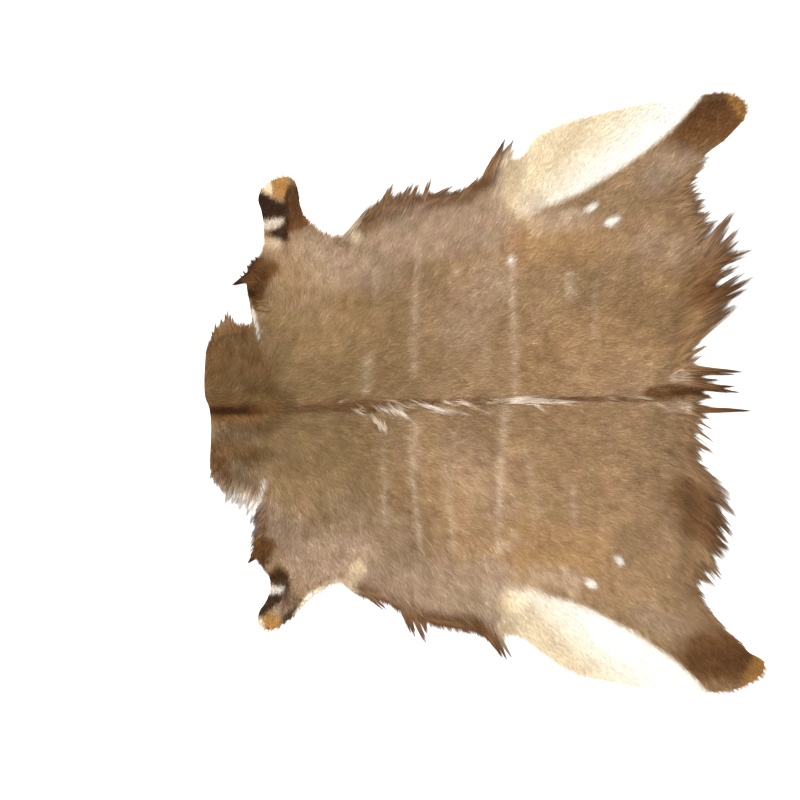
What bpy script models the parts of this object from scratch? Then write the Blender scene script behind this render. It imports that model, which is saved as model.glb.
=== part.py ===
"""A nyala skin laid flat with its fur up: one piece of leather with its coat, a lumpy slab with hair locks at its rim.

Metres, +Z up. The neck is at -X, the rump at +X, and the animal's right side at +Y. The skin rests on z = 0.
"""

import math
import random

import bmesh
import bpy
from mathutils import Vector, noise
from mathutils.bvhtree import BVHTree

# The whole skin
SKIN_LENGTH = 1.335  # from the neck's cut edge to the farthest hind leg's end
SPINE_Y = -0.025  # the skin's right hind leg reaches further from the spine than its left one
EDGE_STEPS = 3  # straight pieces between two landmarks of the outline

# The coat's thickness with its leather
RIM_HEIGHT = 0.0045
PILE_HEIGHT = 0.0075
RIM_SLOPE = 0.045  # how far in from the edge the coat comes to its full height
LUMPS = (
    # layer, size of a lump, height
    (1.5, 0.210, 0.0040),
    (4.5, 0.090, 0.0026),
    (8.5, 0.045, 0.0012),
)
CREST_HEIGHT = 0.0045
CREST_WIDTH = 0.016
CREST_START = 0.17  # behind the neck's cut edge
CREST_END = 1.16
MANTLE_RISE = 0.0018  # the long hair at the belly and the rump lies thicker
MANTLE_WIDTH = 0.055

# The cage from which the slab's top is cut
GRID_ROWS = 44
GRID_COLUMNS = 42
GRID_MARGIN = 0.03
SPINE_CROWDING = 0.5  # spacing of the cage's rows at the spine, as a share of the mean spacing
CAGE_DEPTH = 0.02
CUTTER_HEIGHT = 0.30

# A hair lock
LOCK_STEPS = 4
LOCK_ROOT_IN = 0.022  # how far a lock's root lies inside the outline
LOCK_RISE = 0.62  # its ridge's height as a share of its half width
LOCK_TIP = 0.16  # its tip's width as a share of its root's
LOCK_ROOT_LIFT = 0.0012
LOCK_FULLNESS = 0.48  # the most that a lock's half width takes of the space between two roots
LOCK_STOUTNESS = 0.11  # its half width grows with its length by this share
LOCK_THINNEST = 0.0018
LOCK_JITTER = 0.22  # how far a root strays along its row, in spaces
LOCK_STRAY = 4.0  # how far a lock strays from its row's aim, in degrees
LOCK_BEND = math.radians(10.0)
LOCK_SEED = 17

LEATHER_COLOR = (0.30, 0.19, 0.11, 1.0)

# The outline, from the neck's cut edge to the tail. Behind: metres behind the neck's cut edge. Out: metres out from
# the spine. A corner is sharp, a bend is smooth.
RIGHT_SIDE = (
    # landmark, behind, out, kind
    ("neck corner", 0.000, 0.130, "corner"),
    ("neck side", 0.035, 0.182, "corner"),
    ("neck notch", 0.115, 0.184, "corner"),
    ("shoulder low", 0.108, 0.235, "bend"),
    ("shoulder", 0.101, 0.285, "bend"),
    ("shoulder high", 0.108, 0.325, "bend"),
    ("shoulder end", 0.134, 0.350, "bend"),
    ("foreleg front", 0.142, 0.402, "bend"),
    ("foreleg shin", 0.136, 0.455, "bend"),
    ("foreleg end, low", 0.128, 0.490, "bend"),
    ("foreleg end, front", 0.147, 0.520, "bend"),
    ("foreleg end", 0.183, 0.539, "bend"),
    ("foreleg end, high", 0.212, 0.537, "bend"),
    ("foreleg end, back", 0.228, 0.508, "bend"),
    ("foreleg back", 0.234, 0.468, "bend"),
    ("armpit front", 0.252, 0.430, "bend"),
    ("armpit", 0.320, 0.396, "bend"),
    ("belly front", 0.368, 0.425, "bend"),
    ("belly mane front", 0.405, 0.470, "bend"),
    ("belly mane", 0.467, 0.484, "bend"),
    ("belly mane back", 0.565, 0.492, "bend"),
    ("flank low", 0.633, 0.515, "bend"),
    ("flank", 0.676, 0.553, "bend"),
    ("flank tip", 0.708, 0.590, "corner"),
    ("groin front", 0.733, 0.574, "bend"),
    ("groin", 0.790, 0.632, "bend"),
    ("thigh inside", 0.895, 0.675, "bend"),
    ("hock inside", 1.035, 0.710, "bend"),
    ("hind leg inside", 1.170, 0.732, "bend"),
    ("hind leg end, inside", 1.258, 0.733, "bend"),
    ("hind leg end", 1.290, 0.700, "bend"),
    ("hock outside", 1.252, 0.637, "bend"),
    ("thigh outside", 1.180, 0.575, "bend"),
    ("buttock", 1.155, 0.510, "bend"),
    ("rump mane high", 1.180, 0.472, "bend"),
    ("rump mane top", 1.215, 0.445, "bend"),
    ("rump mane", 1.243, 0.380, "bend"),
    ("rump mane middle", 1.245, 0.320, "bend"),
    ("rump mane low", 1.225, 0.240, "bend"),
    ("rump low", 1.190, 0.170, "bend"),
    ("tail notch", 1.172, 0.116, "bend"),
    ("tail root", 1.200, 0.055, "bend"),
)
LEFT_SIDE = (
    ("neck edge", 0.010, 0.010, "bend"),
    ("neck corner", 0.014, 0.155, "bend"),
    ("neck side", 0.040, 0.197, "bend"),
    ("neck side, back", 0.090, 0.225, "bend"),
    ("neck notch", 0.118, 0.240, "corner"),
    ("shoulder front", 0.121, 0.300, "bend"),
    ("shoulder", 0.118, 0.350, "bend"),
    ("shoulder end", 0.140, 0.385, "bend"),
    ("foreleg front", 0.157, 0.420, "bend"),
    ("foreleg shin", 0.150, 0.460, "bend"),
    ("foreleg end, low", 0.128, 0.500, "bend"),
    ("foreleg end, front", 0.135, 0.528, "bend"),
    ("foreleg end", 0.160, 0.537, "bend"),
    ("foreleg end, back", 0.198, 0.518, "bend"),
    ("foreleg back", 0.235, 0.486, "bend"),
    ("armpit front", 0.266, 0.450, "bend"),
    ("armpit", 0.318, 0.425, "bend"),
    ("belly front", 0.370, 0.455, "bend"),
    ("belly mane front", 0.445, 0.486, "bend"),
    ("belly mane", 0.515, 0.515, "bend"),
    ("belly mane back", 0.590, 0.528, "bend"),
    ("flank low", 0.645, 0.538, "bend"),
    ("flank tip", 0.702, 0.572, "corner"),
    ("groin front", 0.722, 0.542, "bend"),
    ("groin", 0.790, 0.580, "bend"),
    ("thigh inside", 0.860, 0.627, "bend"),
    ("hock inside", 0.990, 0.664, "bend"),
    ("hind leg inside", 1.190, 0.685, "bend"),
    ("hind leg end, inside", 1.290, 0.667, "bend"),
    ("hind leg end", 1.334, 0.616, "bend"),
    ("hock outside", 1.297, 0.581, "bend"),
    ("thigh outside", 1.207, 0.484, "bend"),
    ("buttock", 1.170, 0.446, "corner"),
    ("rump mane high", 1.210, 0.414, "bend"),
    ("rump mane top", 1.216, 0.370, "bend"),
    ("rump mane", 1.243, 0.325, "bend"),
    ("rump mane middle", 1.243, 0.265, "bend"),
    ("rump mane low", 1.225, 0.200, "bend"),
    ("rump low", 1.192, 0.150, "bend"),
    ("tail notch", 1.193, 0.085, "bend"),
    ("tail root", 1.195, 0.035, "bend"),
)

# Rows of locks along the rim. Each row runs between two places of the edge, given as in the outline. Aim: the way that
# the first and the last lock point, in degrees from straight back, turning outwards from the spine.
RIGHT_LOCKS = (
    # row, behind and out where it starts, behind and out where it ends, locks, shortest, longest, first aim, last aim
    ("neck", 0.034, 0.176, 0.076, 0.182, 4, 0.022, 0.050, 112, 82),
    ("shoulder low", 0.108, 0.245, 0.102, 0.272, 2, 0.016, 0.026, 200, 190),
    ("shoulder hook", 0.101, 0.284, 0.102, 0.298, 2, 0.032, 0.044, 178, 172),
    ("shoulder", 0.104, 0.310, 0.128, 0.346, 3, 0.014, 0.026, 158, 118),
    ("belly front", 0.384, 0.444, 0.412, 0.474, 3, 0.020, 0.034, 70, 66),
    ("belly", 0.430, 0.477, 0.620, 0.508, 13, 0.026, 0.058, 60, 54),
    ("flank", 0.640, 0.518, 0.688, 0.565, 5, 0.030, 0.050, 64, 68),
    ("flank tuft", 0.690, 0.568, 0.708, 0.584, 3, 0.050, 0.074, 70, 74),
    ("groin", 0.740, 0.575, 0.850, 0.655, 6, 0.012, 0.020, 75, 55),
    ("hock", 1.276, 0.680, 1.180, 0.575, 7, 0.014, 0.028, 35, 22),
    ("rump high", 1.180, 0.472, 1.214, 0.448, 3, 0.040, 0.066, 55, 48),
    ("rump", 1.222, 0.432, 1.246, 0.330, 8, 0.042, 0.074, 46, 34),
    ("rump low", 1.246, 0.310, 1.196, 0.180, 11, 0.038, 0.068, 34, 26),
    ("tail notch", 1.188, 0.164, 1.174, 0.122, 4, 0.026, 0.044, 30, 22),
    ("tail", 1.188, 0.085, 1.202, 0.014, 6, 0.050, 0.092, 24, 4),
)
LEFT_LOCKS = (
    ("neck", 0.046, 0.198, 0.104, 0.229, 5, 0.014, 0.030, 100, 78),
    ("shoulder", 0.121, 0.272, 0.119, 0.335, 4, 0.014, 0.026, 158, 145),
    ("shoulder end", 0.119, 0.352, 0.132, 0.376, 3, 0.018, 0.036, 148, 132),
    ("belly front", 0.400, 0.466, 0.490, 0.504, 6, 0.022, 0.040, 50, 55),
    ("belly tuft", 0.500, 0.507, 0.524, 0.516, 3, 0.048, 0.066, 62, 70),
    ("belly", 0.545, 0.519, 0.635, 0.534, 6, 0.020, 0.040, 42, 42),
    ("flank tuft", 0.662, 0.543, 0.698, 0.568, 4, 0.040, 0.070, 52, 60),
    ("groin", 0.740, 0.548, 0.850, 0.620, 6, 0.012, 0.018, 72, 52),
    ("hock", 1.290, 0.574, 1.186, 0.462, 7, 0.014, 0.026, 35, 22),
    ("rump high", 1.192, 0.428, 1.215, 0.385, 4, 0.030, 0.050, 48, 44),
    ("rump", 1.222, 0.362, 1.243, 0.265, 8, 0.036, 0.062, 44, 36),
    ("rump low", 1.240, 0.248, 1.196, 0.156, 8, 0.034, 0.056, 36, 30),
    ("tail notch", 1.193, 0.138, 1.194, 0.060, 6, 0.020, 0.038, 40, 28),
    ("tail", 1.196, 0.040, 1.200, 0.012, 3, 0.056, 0.098, 16, 6),
)

# White and dark tufts that lie on the crest.
CREST_TUFTS = (
    # tuft, behind, out to the left of the spine, length, aim from straight back to the left, half width
    ("curled lock", 0.402, 0.034, 0.052, 42, 0.0055),
    ("front lock", 0.452, 0.010, 0.062, 26, 0.0060),
    ("front wisp", 0.508, -0.006, 0.066, -6, 0.0050),
    ("middle wisp", 0.552, 0.012, 0.078, 10, 0.0050),
    ("middle lock", 0.606, -0.004, 0.086, -8, 0.0060),
    ("back lock", 0.652, 0.014, 0.080, 12, 0.0055),
    ("long lock", 0.722, -0.010, 0.118, -4, 0.0065),
    ("side wisp", 0.784, 0.016, 0.056, 14, 0.0045),
    ("loin lock", 0.860, -0.010, 0.092, -5, 0.0050),
    ("rump lock", 0.958, 0.000, 0.090, 2, 0.0050),
    ("tail lock", 1.062, -0.020, 0.110, -4, 0.0060),
)

# Soft folds in the coat: troughs below zero and ridges above it.
FOLDS = (
    # fold, side, behind and out where it starts, behind and out where it ends, half width, rise
    ("neck furrow", -1, 0.010, 0.018, 0.150, 0.012, 0.016, -0.0022),
    ("neck ridge, right", 1, 0.010, 0.020, 0.190, 0.014, 0.022, 0.0030),
    ("neck ridge, left", -1, 0.020, 0.052, 0.180, 0.036, 0.022, 0.0028),
    ("neck pleat, right", 1, 0.030, 0.105, 0.160, 0.070, 0.022, 0.0020),
    ("neck pleat, left", -1, 0.040, 0.130, 0.170, 0.085, 0.024, 0.0022),
    ("foreleg crease, right", 1, 0.196, 0.520, 0.196, 0.415, 0.014, -0.0018),
    ("foreleg crease, left", -1, 0.196, 0.505, 0.222, 0.435, 0.014, -0.0016),
    ("armpit pucker, right", 1, 0.330, 0.400, 0.400, 0.330, 0.026, 0.0026),
    ("armpit pucker, left", -1, 0.330, 0.420, 0.405, 0.350, 0.026, 0.0026),
    ("flank pucker, right", 1, 0.720, 0.520, 0.800, 0.420, 0.030, 0.0024),
    ("flank pucker, left", -1, 0.715, 0.530, 0.800, 0.430, 0.030, 0.0024),
)


def place(behind, out, side):
    """The plan position of a spot that is given from the neck's cut edge and the spine."""
    return Vector((behind - SKIN_LENGTH / 2, SPINE_Y + side * out, 0.0))


def clear_scene():
    for thing in list(bpy.data.objects):
        bpy.data.objects.remove(thing, do_unlink=True)


def new_collection(name):
    group = bpy.data.collections.new(name)
    bpy.context.scene.collection.children.link(group)
    return group


def add_object(name, data, group):
    thing = bpy.data.objects.new(name, data)
    group.objects.link(thing)
    return thing


def as_mesh(thing, name, group):
    """A mesh object with the shape that the object has after its modifiers, in the object's place."""
    bpy.context.view_layer.update()
    depsgraph = bpy.context.evaluated_depsgraph_get()
    mesh = bpy.data.meshes.new_from_object(thing.evaluated_get(depsgraph))
    mesh.name = name
    work = bmesh.new()
    work.from_mesh(mesh)
    bmesh.ops.remove_doubles(work, verts=work.verts, dist=0.00001)
    bmesh.ops.recalc_face_normals(work, faces=work.faces)
    work.to_mesh(mesh)
    work.free()
    made = add_object(name, mesh, group)
    made.matrix_world = thing.matrix_world.copy()
    bpy.data.objects.remove(thing, do_unlink=True)
    return made


def hide_as_guide(thing):
    thing.hide_render = True
    thing.display_type = "WIRE"


def outline_cutter(group):
    """A tall block with the skin's outline, standing on the floor."""
    curve = bpy.data.curves.new("outline", "CURVE")
    curve.dimensions = "2D"
    curve.fill_mode = "BOTH"
    curve.resolution_u = EDGE_STEPS
    curve.extrude = CUTTER_HEIGHT / 2
    rows = [(row, 1) for row in RIGHT_SIDE] + [(row, -1) for row in reversed(LEFT_SIDE)]
    spline = curve.splines.new("BEZIER")
    spline.bezier_points.add(len(rows) - 1)
    spline.use_cyclic_u = True
    for point, ((_, behind, out, kind), side) in zip(spline.bezier_points, rows):
        point.co = place(behind, out, side)
        handle = "VECTOR" if kind == "corner" else "AUTO"
        point.handle_left_type = handle
        point.handle_right_type = handle
    outline = add_object("outline", curve, group)
    outline.location.z = CUTTER_HEIGHT / 2
    cutter = as_mesh(outline, "outline_cutter", group)
    hide_as_guide(cutter)
    return cutter


def wall_distance(cutter):
    """A function that gives how far a spot lies inside the outline."""
    work = bmesh.new()
    work.from_mesh(cutter.data)
    tree = BVHTree.FromBMesh(work)
    work.free()

    def distance(x, y):
        return tree.find_nearest(Vector((x, y, 0.0)))[3]

    return distance


def smooth_step(value):
    value = min(max(value, 0.0), 1.0)
    return value * value * (3.0 - 2.0 * value)


def bell(distance, half_width):
    return math.exp(-((distance / half_width) ** 2))


def distance_to_run(spot, start, end):
    """How far a spot lies from the straight run between two places."""
    run = end - start
    share = min(max((spot - start).dot(run) / run.length_squared, 0.0), 1.0)
    return (spot - start - share * run).length


def folds_rise(spot):
    rise = 0.0
    for _, side, behind_1, out_1, behind_2, out_2, half_width, height in FOLDS:
        away = distance_to_run(spot, place(behind_1, out_1, side), place(behind_2, out_2, side))
        rise += height * bell(away, half_width)
    return rise


def crest_rise(spot):
    start = place(CREST_START, 0.0, 1)
    end = place(CREST_END, 0.0, 1)
    return CREST_HEIGHT * bell(distance_to_run(spot, start, end), CREST_WIDTH)


def lumps(x, y):
    """Uneven pile and slightly cockled leather, as smooth noise of a few sizes."""
    return sum(height * noise.noise(Vector((x / size, y / size, layer))) for layer, size, height in LUMPS)


def coat_height(x, y, inside):
    """The coat's top over a spot that lies this far inside the edge."""
    spot = Vector((x, y, 0.0))
    full = smooth_step(inside / RIM_SLOPE)
    pile = RIM_HEIGHT + (PILE_HEIGHT - RIM_HEIGHT) * full
    mantle = MANTLE_RISE * bell(inside - MANTLE_WIDTH, MANTLE_WIDTH)
    return pile + full * (lumps(x, y) + folds_rise(spot) + crest_rise(spot) + mantle)


def crowded(share):
    """Spreads -1 to 1 so that the steps near 0 are smaller."""
    return SPINE_CROWDING * share + (1.0 - SPINE_CROWDING) * share ** 3


def lumpy_cage(distance, group):
    """A closed block whose top is the coat's surface, reaching past the outline on all sides."""
    half_x = SKIN_LENGTH / 2 + GRID_MARGIN
    reach = max(row[2] for row in RIGHT_SIDE + LEFT_SIDE) + abs(SPINE_Y) + GRID_MARGIN
    work = bmesh.new()
    bmesh.ops.create_grid(work, x_segments=GRID_COLUMNS, y_segments=GRID_ROWS, size=1.0)
    for vert in work.verts:
        x = vert.co.x * half_x
        y = SPINE_Y + crowded(vert.co.y) * reach
        vert.co = (x, y, coat_height(x, y, distance(x, y)))
    bmesh.ops.triangulate(work, faces=work.faces, quad_method="SHORT_EDGE")
    top_faces = list(work.faces)
    wall = bmesh.ops.extrude_face_region(work, geom=top_faces, use_keep_orig=True)
    for item in wall["geom"]:
        if isinstance(item, bmesh.types.BMVert):
            item.co.z = -CAGE_DEPTH
    bmesh.ops.recalc_face_normals(work, faces=work.faces)
    mesh = bpy.data.meshes.new("skin_slab")
    work.to_mesh(mesh)
    work.free()
    return add_object("skin_slab", mesh, group)


def lock_section(group):
    """A lock's cross-section: flat below, with a ridge above, one unit to each side."""
    curve = bpy.data.curves.new("lock_section", "CURVE")
    curve.dimensions = "2D"
    spline = curve.splines.new("POLY")
    spline.points.add(2)
    spline.use_cyclic_u = True
    for point, (across, up) in zip(spline.points, ((-1.0, 0.0), (1.0, 0.0), (0.0, LOCK_RISE))):
        point.co = (across, up, 0.0, 1.0)
    section = add_object("lock_section", curve, group)
    hide_as_guide(section)
    return section


def add_lock(curve, root, heading, length, half_width, bend, lifts):
    """A tapering lock that starts at its root and turns by the bend along its length."""
    spline = curve.splines.new("POLY")
    spline.points.add(LOCK_STEPS - 1)
    spot = root.copy()
    for step, point in enumerate(spline.points):
        share = step / (LOCK_STEPS - 1)
        taper = (1.0 - share ** 1.6) + LOCK_TIP * share ** 1.6
        point.co = (spot.x, spot.y, lifts[step], 1.0)
        point.radius = half_width * taper
        turned = heading + bend * share
        spot = spot + Vector((math.cos(turned), math.sin(turned), 0.0)) * length / (LOCK_STEPS - 1)


def add_rim_locks(curve, table, side, rng):
    for _, behind_1, out_1, behind_2, out_2, count, shortest, longest, aim_1, aim_2 in table:
        start = place(behind_1, out_1, side)
        end = place(behind_2, out_2, side)
        spacing = (end - start).length / max(count - 1, 1)
        for number in range(count):
            share = (number + rng.uniform(-LOCK_JITTER, LOCK_JITTER)) / max(count - 1, 1)
            aim = aim_1 + (aim_2 - aim_1) * share + rng.uniform(-LOCK_STRAY, LOCK_STRAY)
            heading = side * math.radians(aim)
            length = shortest + (longest - shortest) * rng.random() ** 1.5
            back = Vector((math.cos(heading), math.sin(heading), 0.0)) * LOCK_ROOT_IN
            root = start.lerp(end, share) - back
            half_width = min(LOCK_FULLNESS * spacing, LOCK_STOUTNESS * length + LOCK_THINNEST)
            lifts = (LOCK_ROOT_LIFT, 0.0, 0.0, 0.0)
            add_lock(curve, root, heading, length + LOCK_ROOT_IN, half_width, -side * LOCK_BEND, lifts)


def add_crest_tufts(curve):
    for _, behind, left, length, aim, half_width in CREST_TUFTS:
        root = place(behind, left, -1)
        heading = -math.radians(aim)
        top = PILE_HEIGHT + CREST_HEIGHT * 0.5
        lifts = (top - 0.0030, top - 0.0005, top - 0.0005, top - 0.0030)
        add_lock(curve, root, heading, length, half_width, LOCK_BEND, lifts)


def locks_mesh(group):
    curve = bpy.data.curves.new("locks", "CURVE")
    curve.dimensions = "3D"
    curve.twist_mode = "Z_UP"
    curve.bevel_mode = "OBJECT"
    curve.bevel_object = lock_section(group)
    curve.use_fill_caps = True
    rng = random.Random(LOCK_SEED)
    add_rim_locks(curve, RIGHT_LOCKS, 1, rng)
    add_rim_locks(curve, LEFT_LOCKS, -1, rng)
    add_crest_tufts(curve)
    locks = as_mesh(add_object("locks", curve, group), "locks_cutter", group)
    hide_as_guide(locks)
    return locks


def add_boolean(thing, name, operation, other, own_crossings=False):
    modifier = thing.modifiers.new(name, "BOOLEAN")
    modifier.operation = operation
    modifier.solver = "EXACT"
    modifier.object = other
    modifier.use_self = own_crossings
    return modifier


def fur_material():
    material = bpy.data.materials.new("fur_and_leather")
    material.use_nodes = True
    shader = material.node_tree.nodes["Principled BSDF"]
    shader.inputs["Base Color"].default_value = LEATHER_COLOR
    shader.inputs["Roughness"].default_value = 0.85
    shader.inputs["Metallic"].default_value = 0.0
    return material


def centre_on_floor(mesh):
    """Moves the mesh so that its box is centred over the origin and stands on z = 0."""
    lows = [min(vert.co[axis] for vert in mesh.vertices) for axis in range(3)]
    highs = [max(vert.co[axis] for vert in mesh.vertices) for axis in range(3)]
    middle = Vector(((lows[0] + highs[0]) / 2, (lows[1] + highs[1]) / 2, lows[2]))
    for vert in mesh.vertices:
        vert.co -= middle
    return middle


def build():
    clear_scene()
    parts = new_collection("nyala_skin")
    guides = new_collection("cutters")
    outline = outline_cutter(guides)
    slab = lumpy_cage(wall_distance(outline), guides)
    add_boolean(slab, "cut_to_outline", "INTERSECT", outline)
    add_boolean(slab, "join_locks", "UNION", locks_mesh(guides), own_crossings=True)
    skin = as_mesh(slab, "skin", parts)
    centre_on_floor(skin.data)
    skin.data.materials.clear()
    skin.data.materials.append(fur_material())
    return skin


build()
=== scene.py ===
"""Dresses the flat nyala skin: its leather, the lying coat, the long hair at the rim and the crest's tufts.

The neck is at -X, the rump at +X, the animal's right side at +Y, and the fur is up. Places on the skin are
given as a tanner would: how far behind the neck's cut edge, and how far out from the spine. The tables of the
outline, folds, hair and markings give these places, and lengths, in millimetres. All else is in metres.
"""
import math

import bmesh
import bpy
import numpy as np
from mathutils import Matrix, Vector
from mathutils.bvhtree import BVHTree


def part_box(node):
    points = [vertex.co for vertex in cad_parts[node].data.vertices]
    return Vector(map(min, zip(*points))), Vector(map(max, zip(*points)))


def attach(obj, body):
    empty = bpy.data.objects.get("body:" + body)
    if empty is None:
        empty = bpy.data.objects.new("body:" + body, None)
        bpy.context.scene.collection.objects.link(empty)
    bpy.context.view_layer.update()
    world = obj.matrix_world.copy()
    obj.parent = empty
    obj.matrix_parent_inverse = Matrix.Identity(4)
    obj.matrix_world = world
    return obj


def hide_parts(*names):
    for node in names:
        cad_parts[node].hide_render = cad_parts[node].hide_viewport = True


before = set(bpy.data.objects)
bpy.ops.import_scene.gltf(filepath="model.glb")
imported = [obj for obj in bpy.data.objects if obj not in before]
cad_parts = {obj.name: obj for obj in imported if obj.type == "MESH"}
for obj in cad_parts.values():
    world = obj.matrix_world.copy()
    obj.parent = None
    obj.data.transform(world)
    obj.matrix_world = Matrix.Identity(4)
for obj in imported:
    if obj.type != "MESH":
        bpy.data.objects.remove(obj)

LOW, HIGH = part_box("skin")
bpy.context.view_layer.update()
MM = 1000.0  # millimetres in a metre
UP = (0.0, 0.0, 1.0)
DOWN = Vector((0.0, 0.0, -1.0))
OVERHEAD = 1.0  # how high the rays start that look for a surface below

# Where the skin lies in the frame
NECK_X = LOW.x
RIGHT_LEG_REACH = 0.7393  # the right hind leg's reach from the spine
SPINE_Y = HIGH.y - RIGHT_LEG_REACH
RIGHT = 1
LEFT = -1

# Leather
OUTLINE_STEPS = 6  # points on the outline from one landmark to the next
LEATHER_THICKNESS = 0.0016
PILE = 0.0046  # the coat's height over the leather
LEATHER_CELL = 0.0095
LEATHER_INSET = 0.003
RIM_SLOPE = 0.03  # how far from the rim the leather has come up to its folds
CREASE_SHARE = 0.5
GROUND_LIFT = 0.0002
CLOSE_OVER = 0.003  # how high the search for the leather nearest to a spot starts

# Lying coat
COAT_BANDS = (
    # band, behind where it starts, behind where it ends
    ("coat_neck_and_shoulders", -50, 395),
    ("coat_barrel", 395, 675),
    ("coat_loin", 675, 925),
    ("coat_rump_and_thighs", 925, 1400),
)
WISPS_PER_BAND = 40500
HAIR_SHARE = 1.0
WISP_WIDTH = 0.00072
WISP_LIFT = math.radians(8.0)
WISP_LIFT_SPREAD = math.radians(5.0)
WISP_STRAY = math.radians(15.0)
WISP_LENGTH_SPREAD = 0.22
SWIRL = math.radians(9.0)
SWIRL_SIZE = 0.07
NOISE_CELLS = 64
NOISE_SHIFT = 1000.0  # keeps the numbers of the cells above zero
FEATHER = 0.0020  # how far the edge of a marking strays from hair to hair
WISP_COLOUR = (0.45, 0.55)  # where along a wisp its colour is read, and how far that spreads from root to tip

# Hair shapes, one unit long. Rings: share of the length, half width, rise in half widths.
WISP_RINGS = ((0.0, 1.0, 0.0),)
STRAND_RINGS = ((0.0, 0.30, 0.0), (0.46, 1.0, 3.0))
RING_CORNERS = ((-1.0, 0.0), (1.0, 0.0), (0.0, 0.9))  # a ring's corners across and up, in half widths
RING_EDGES = ((0, 1), (1, 2), (2, 0))
TIP_RISE = 0.2  # how high the tip lies, of the rise of the last ring
STRAND_SWAYS = (-1.8, -0.8, 0.5, 1.5)  # how far a strand's tip lies aside, in half widths
CREST_SWAYS = (-6.0, -2.5, 1.5, 5.0)
WIDTH_RANGE = (0.75, 1.25)  # from hair to hair, of the half width

# Long strands at the rim
STRAND_WIDTH = 0.00060
STRAND_LIFT = math.radians(-0.6)
STRAND_LIFT_SPREAD = math.radians(1.2)
STRAND_STRAY = math.radians(0.8)
STRAND_LENGTH_SPREAD = 0.06
FRINGE_STRANDS = 8
FRINGE_HALF_WIDTH = 0.0024
FRINGE_SHARE = 2.7  # locks in a row, for each one in its table
FRINGE_SKEW = 2.6  # the higher, the fewer locks are nearly as long as the longest
FRINGE_STRAY = math.radians(4.0)
FRINGE_INWARD = (0.0, 0.6)  # how far short locks may lie inwards, of their depth
FRINGE_WIDTHS = (0.6, 1.25)
FARTHEST_TIP = 0.17  # no lock's tip lies farther from the leather
RIM_STEP = 0.002  # how closely the rim is looked for along a lock
LOCK_TAPER = 0.85
FEWEST_STRANDS = 3
STRAIGHT = 1e-4  # a lock that turns less than this, in radians a metre, is straight
LOCK_WIDTHS = (0.01, 1.3)  # limits of the distance behind the tip, of the free length, by which a lock widens
ROOT_RANGE = (0.5, 1.5)  # how deep the deepest strand roots, of the lock's depth
ROOT_SKEW = 1.2  # the higher, the fewer strands root deep inside
TIP_RANGE = 0.85  # how far behind the lock's tip its shortest strand ends, of its free length
TIP_SKEW = 1.5
TIP_AHEAD = 0.05  # how far a strand may end ahead of the lock's tip, of its free length
FRINGE_REACH = 2.5  # no short lock is longer beyond the leather than so many times its reach
LOCK_POINTS = {"rump": 3, "flank": 1, "belly": 3, "tail": 1, "neck": 1, "shoulder": 1}
POINT_SPREAD = 0.9
POINT_STRAY = 0.2
POINT_BACK = 0.40  # how far the outer points lie behind the middle one, of the lock's length
POINT_BACKS = (0.3, 1.0)
POINT_WIDTH = 0.5
SHORTEST_FREE = 0.4  # at least this share of a lock lies free
LOCK_DEPTH = {"rump": 0.074, "flank": 0.036, "belly": 0.026, "tail": 0.036}
SHALLOW_LOCK = 0.016
ROOT_HEIGHT = 0.0006
ROOT_INSET = 0.004
ROOT_RISE = 0.0034  # how much higher hairs may start well inside the rim
ROOT_RISE_WIDTH = 0.030
STRAND_COLOUR = (0.35, 0.70)
LONG_HAIR_BROWN = (0.14, 0.76)  # long hair is at least so brown, differently from lock to lock
LIGHT_GREY = (0.8, 2.0, -0.9)  # how far grey keeps long hair light: share, slope, offset
BROWN_FROM_ROOT = 0.3
STREAK_SPREAD = 0.16
LOCK_STRAND_SHARE = 2.2

# Crest
CREST_STRAND_WIDTH = 0.00030
CREST_STRAND_SHARE = 1.5
CREST_WIDTH_SHARE = 1.5
CREST_LINE_RISE = 0.0030
CREST_TUFT_RISE = 0.0036
CREST_LIFT = math.radians(0.6)
CREST_STRAY = math.radians(7.0)
CREST_LENGTH_SPREAD = 0.15
CREST_LINE_LENGTHS = (0.5, 1.1)
CREST_FREE = 0.6  # how long a tuft is beyond its roots, and how deep they lie, of its length
CREST_DEPTH = 0.5
SEED = 7
LONG_HAIR_SEED = SEED + 20
CREST_SEED = SEED + 40

# The flat patch that each hair gets on the map for baking
PATCH_LENGTH = 0.0030
PATCH_HALF_WIDTH = 0.0009
PATCH_TAPER = 0.6
MAP_MARGIN = 0.01

# Camera over the skin, with a long lens
CAMERA_HEIGHT = 5.2
SENSOR = 36.0
VIEW_WIDTH = 1.8976
VIEW_X = -0.1997
VIEW_Y = -0.0176
FARTHEST_SEEN = 50.0

# Studio
FLOOR_HALF = 6.0
FLOOR_LEVEL = -0.0004
FLOOR_GREYS = (0.86, 0.88)
LIGHTS = (
    # light, place, size, power
    ("key", (-1.2, 1.8, 3.4), 2.2, 190.0),
    ("fill", (1.8, -1.4, 3.4), 2.6, 110.0),
)

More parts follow.
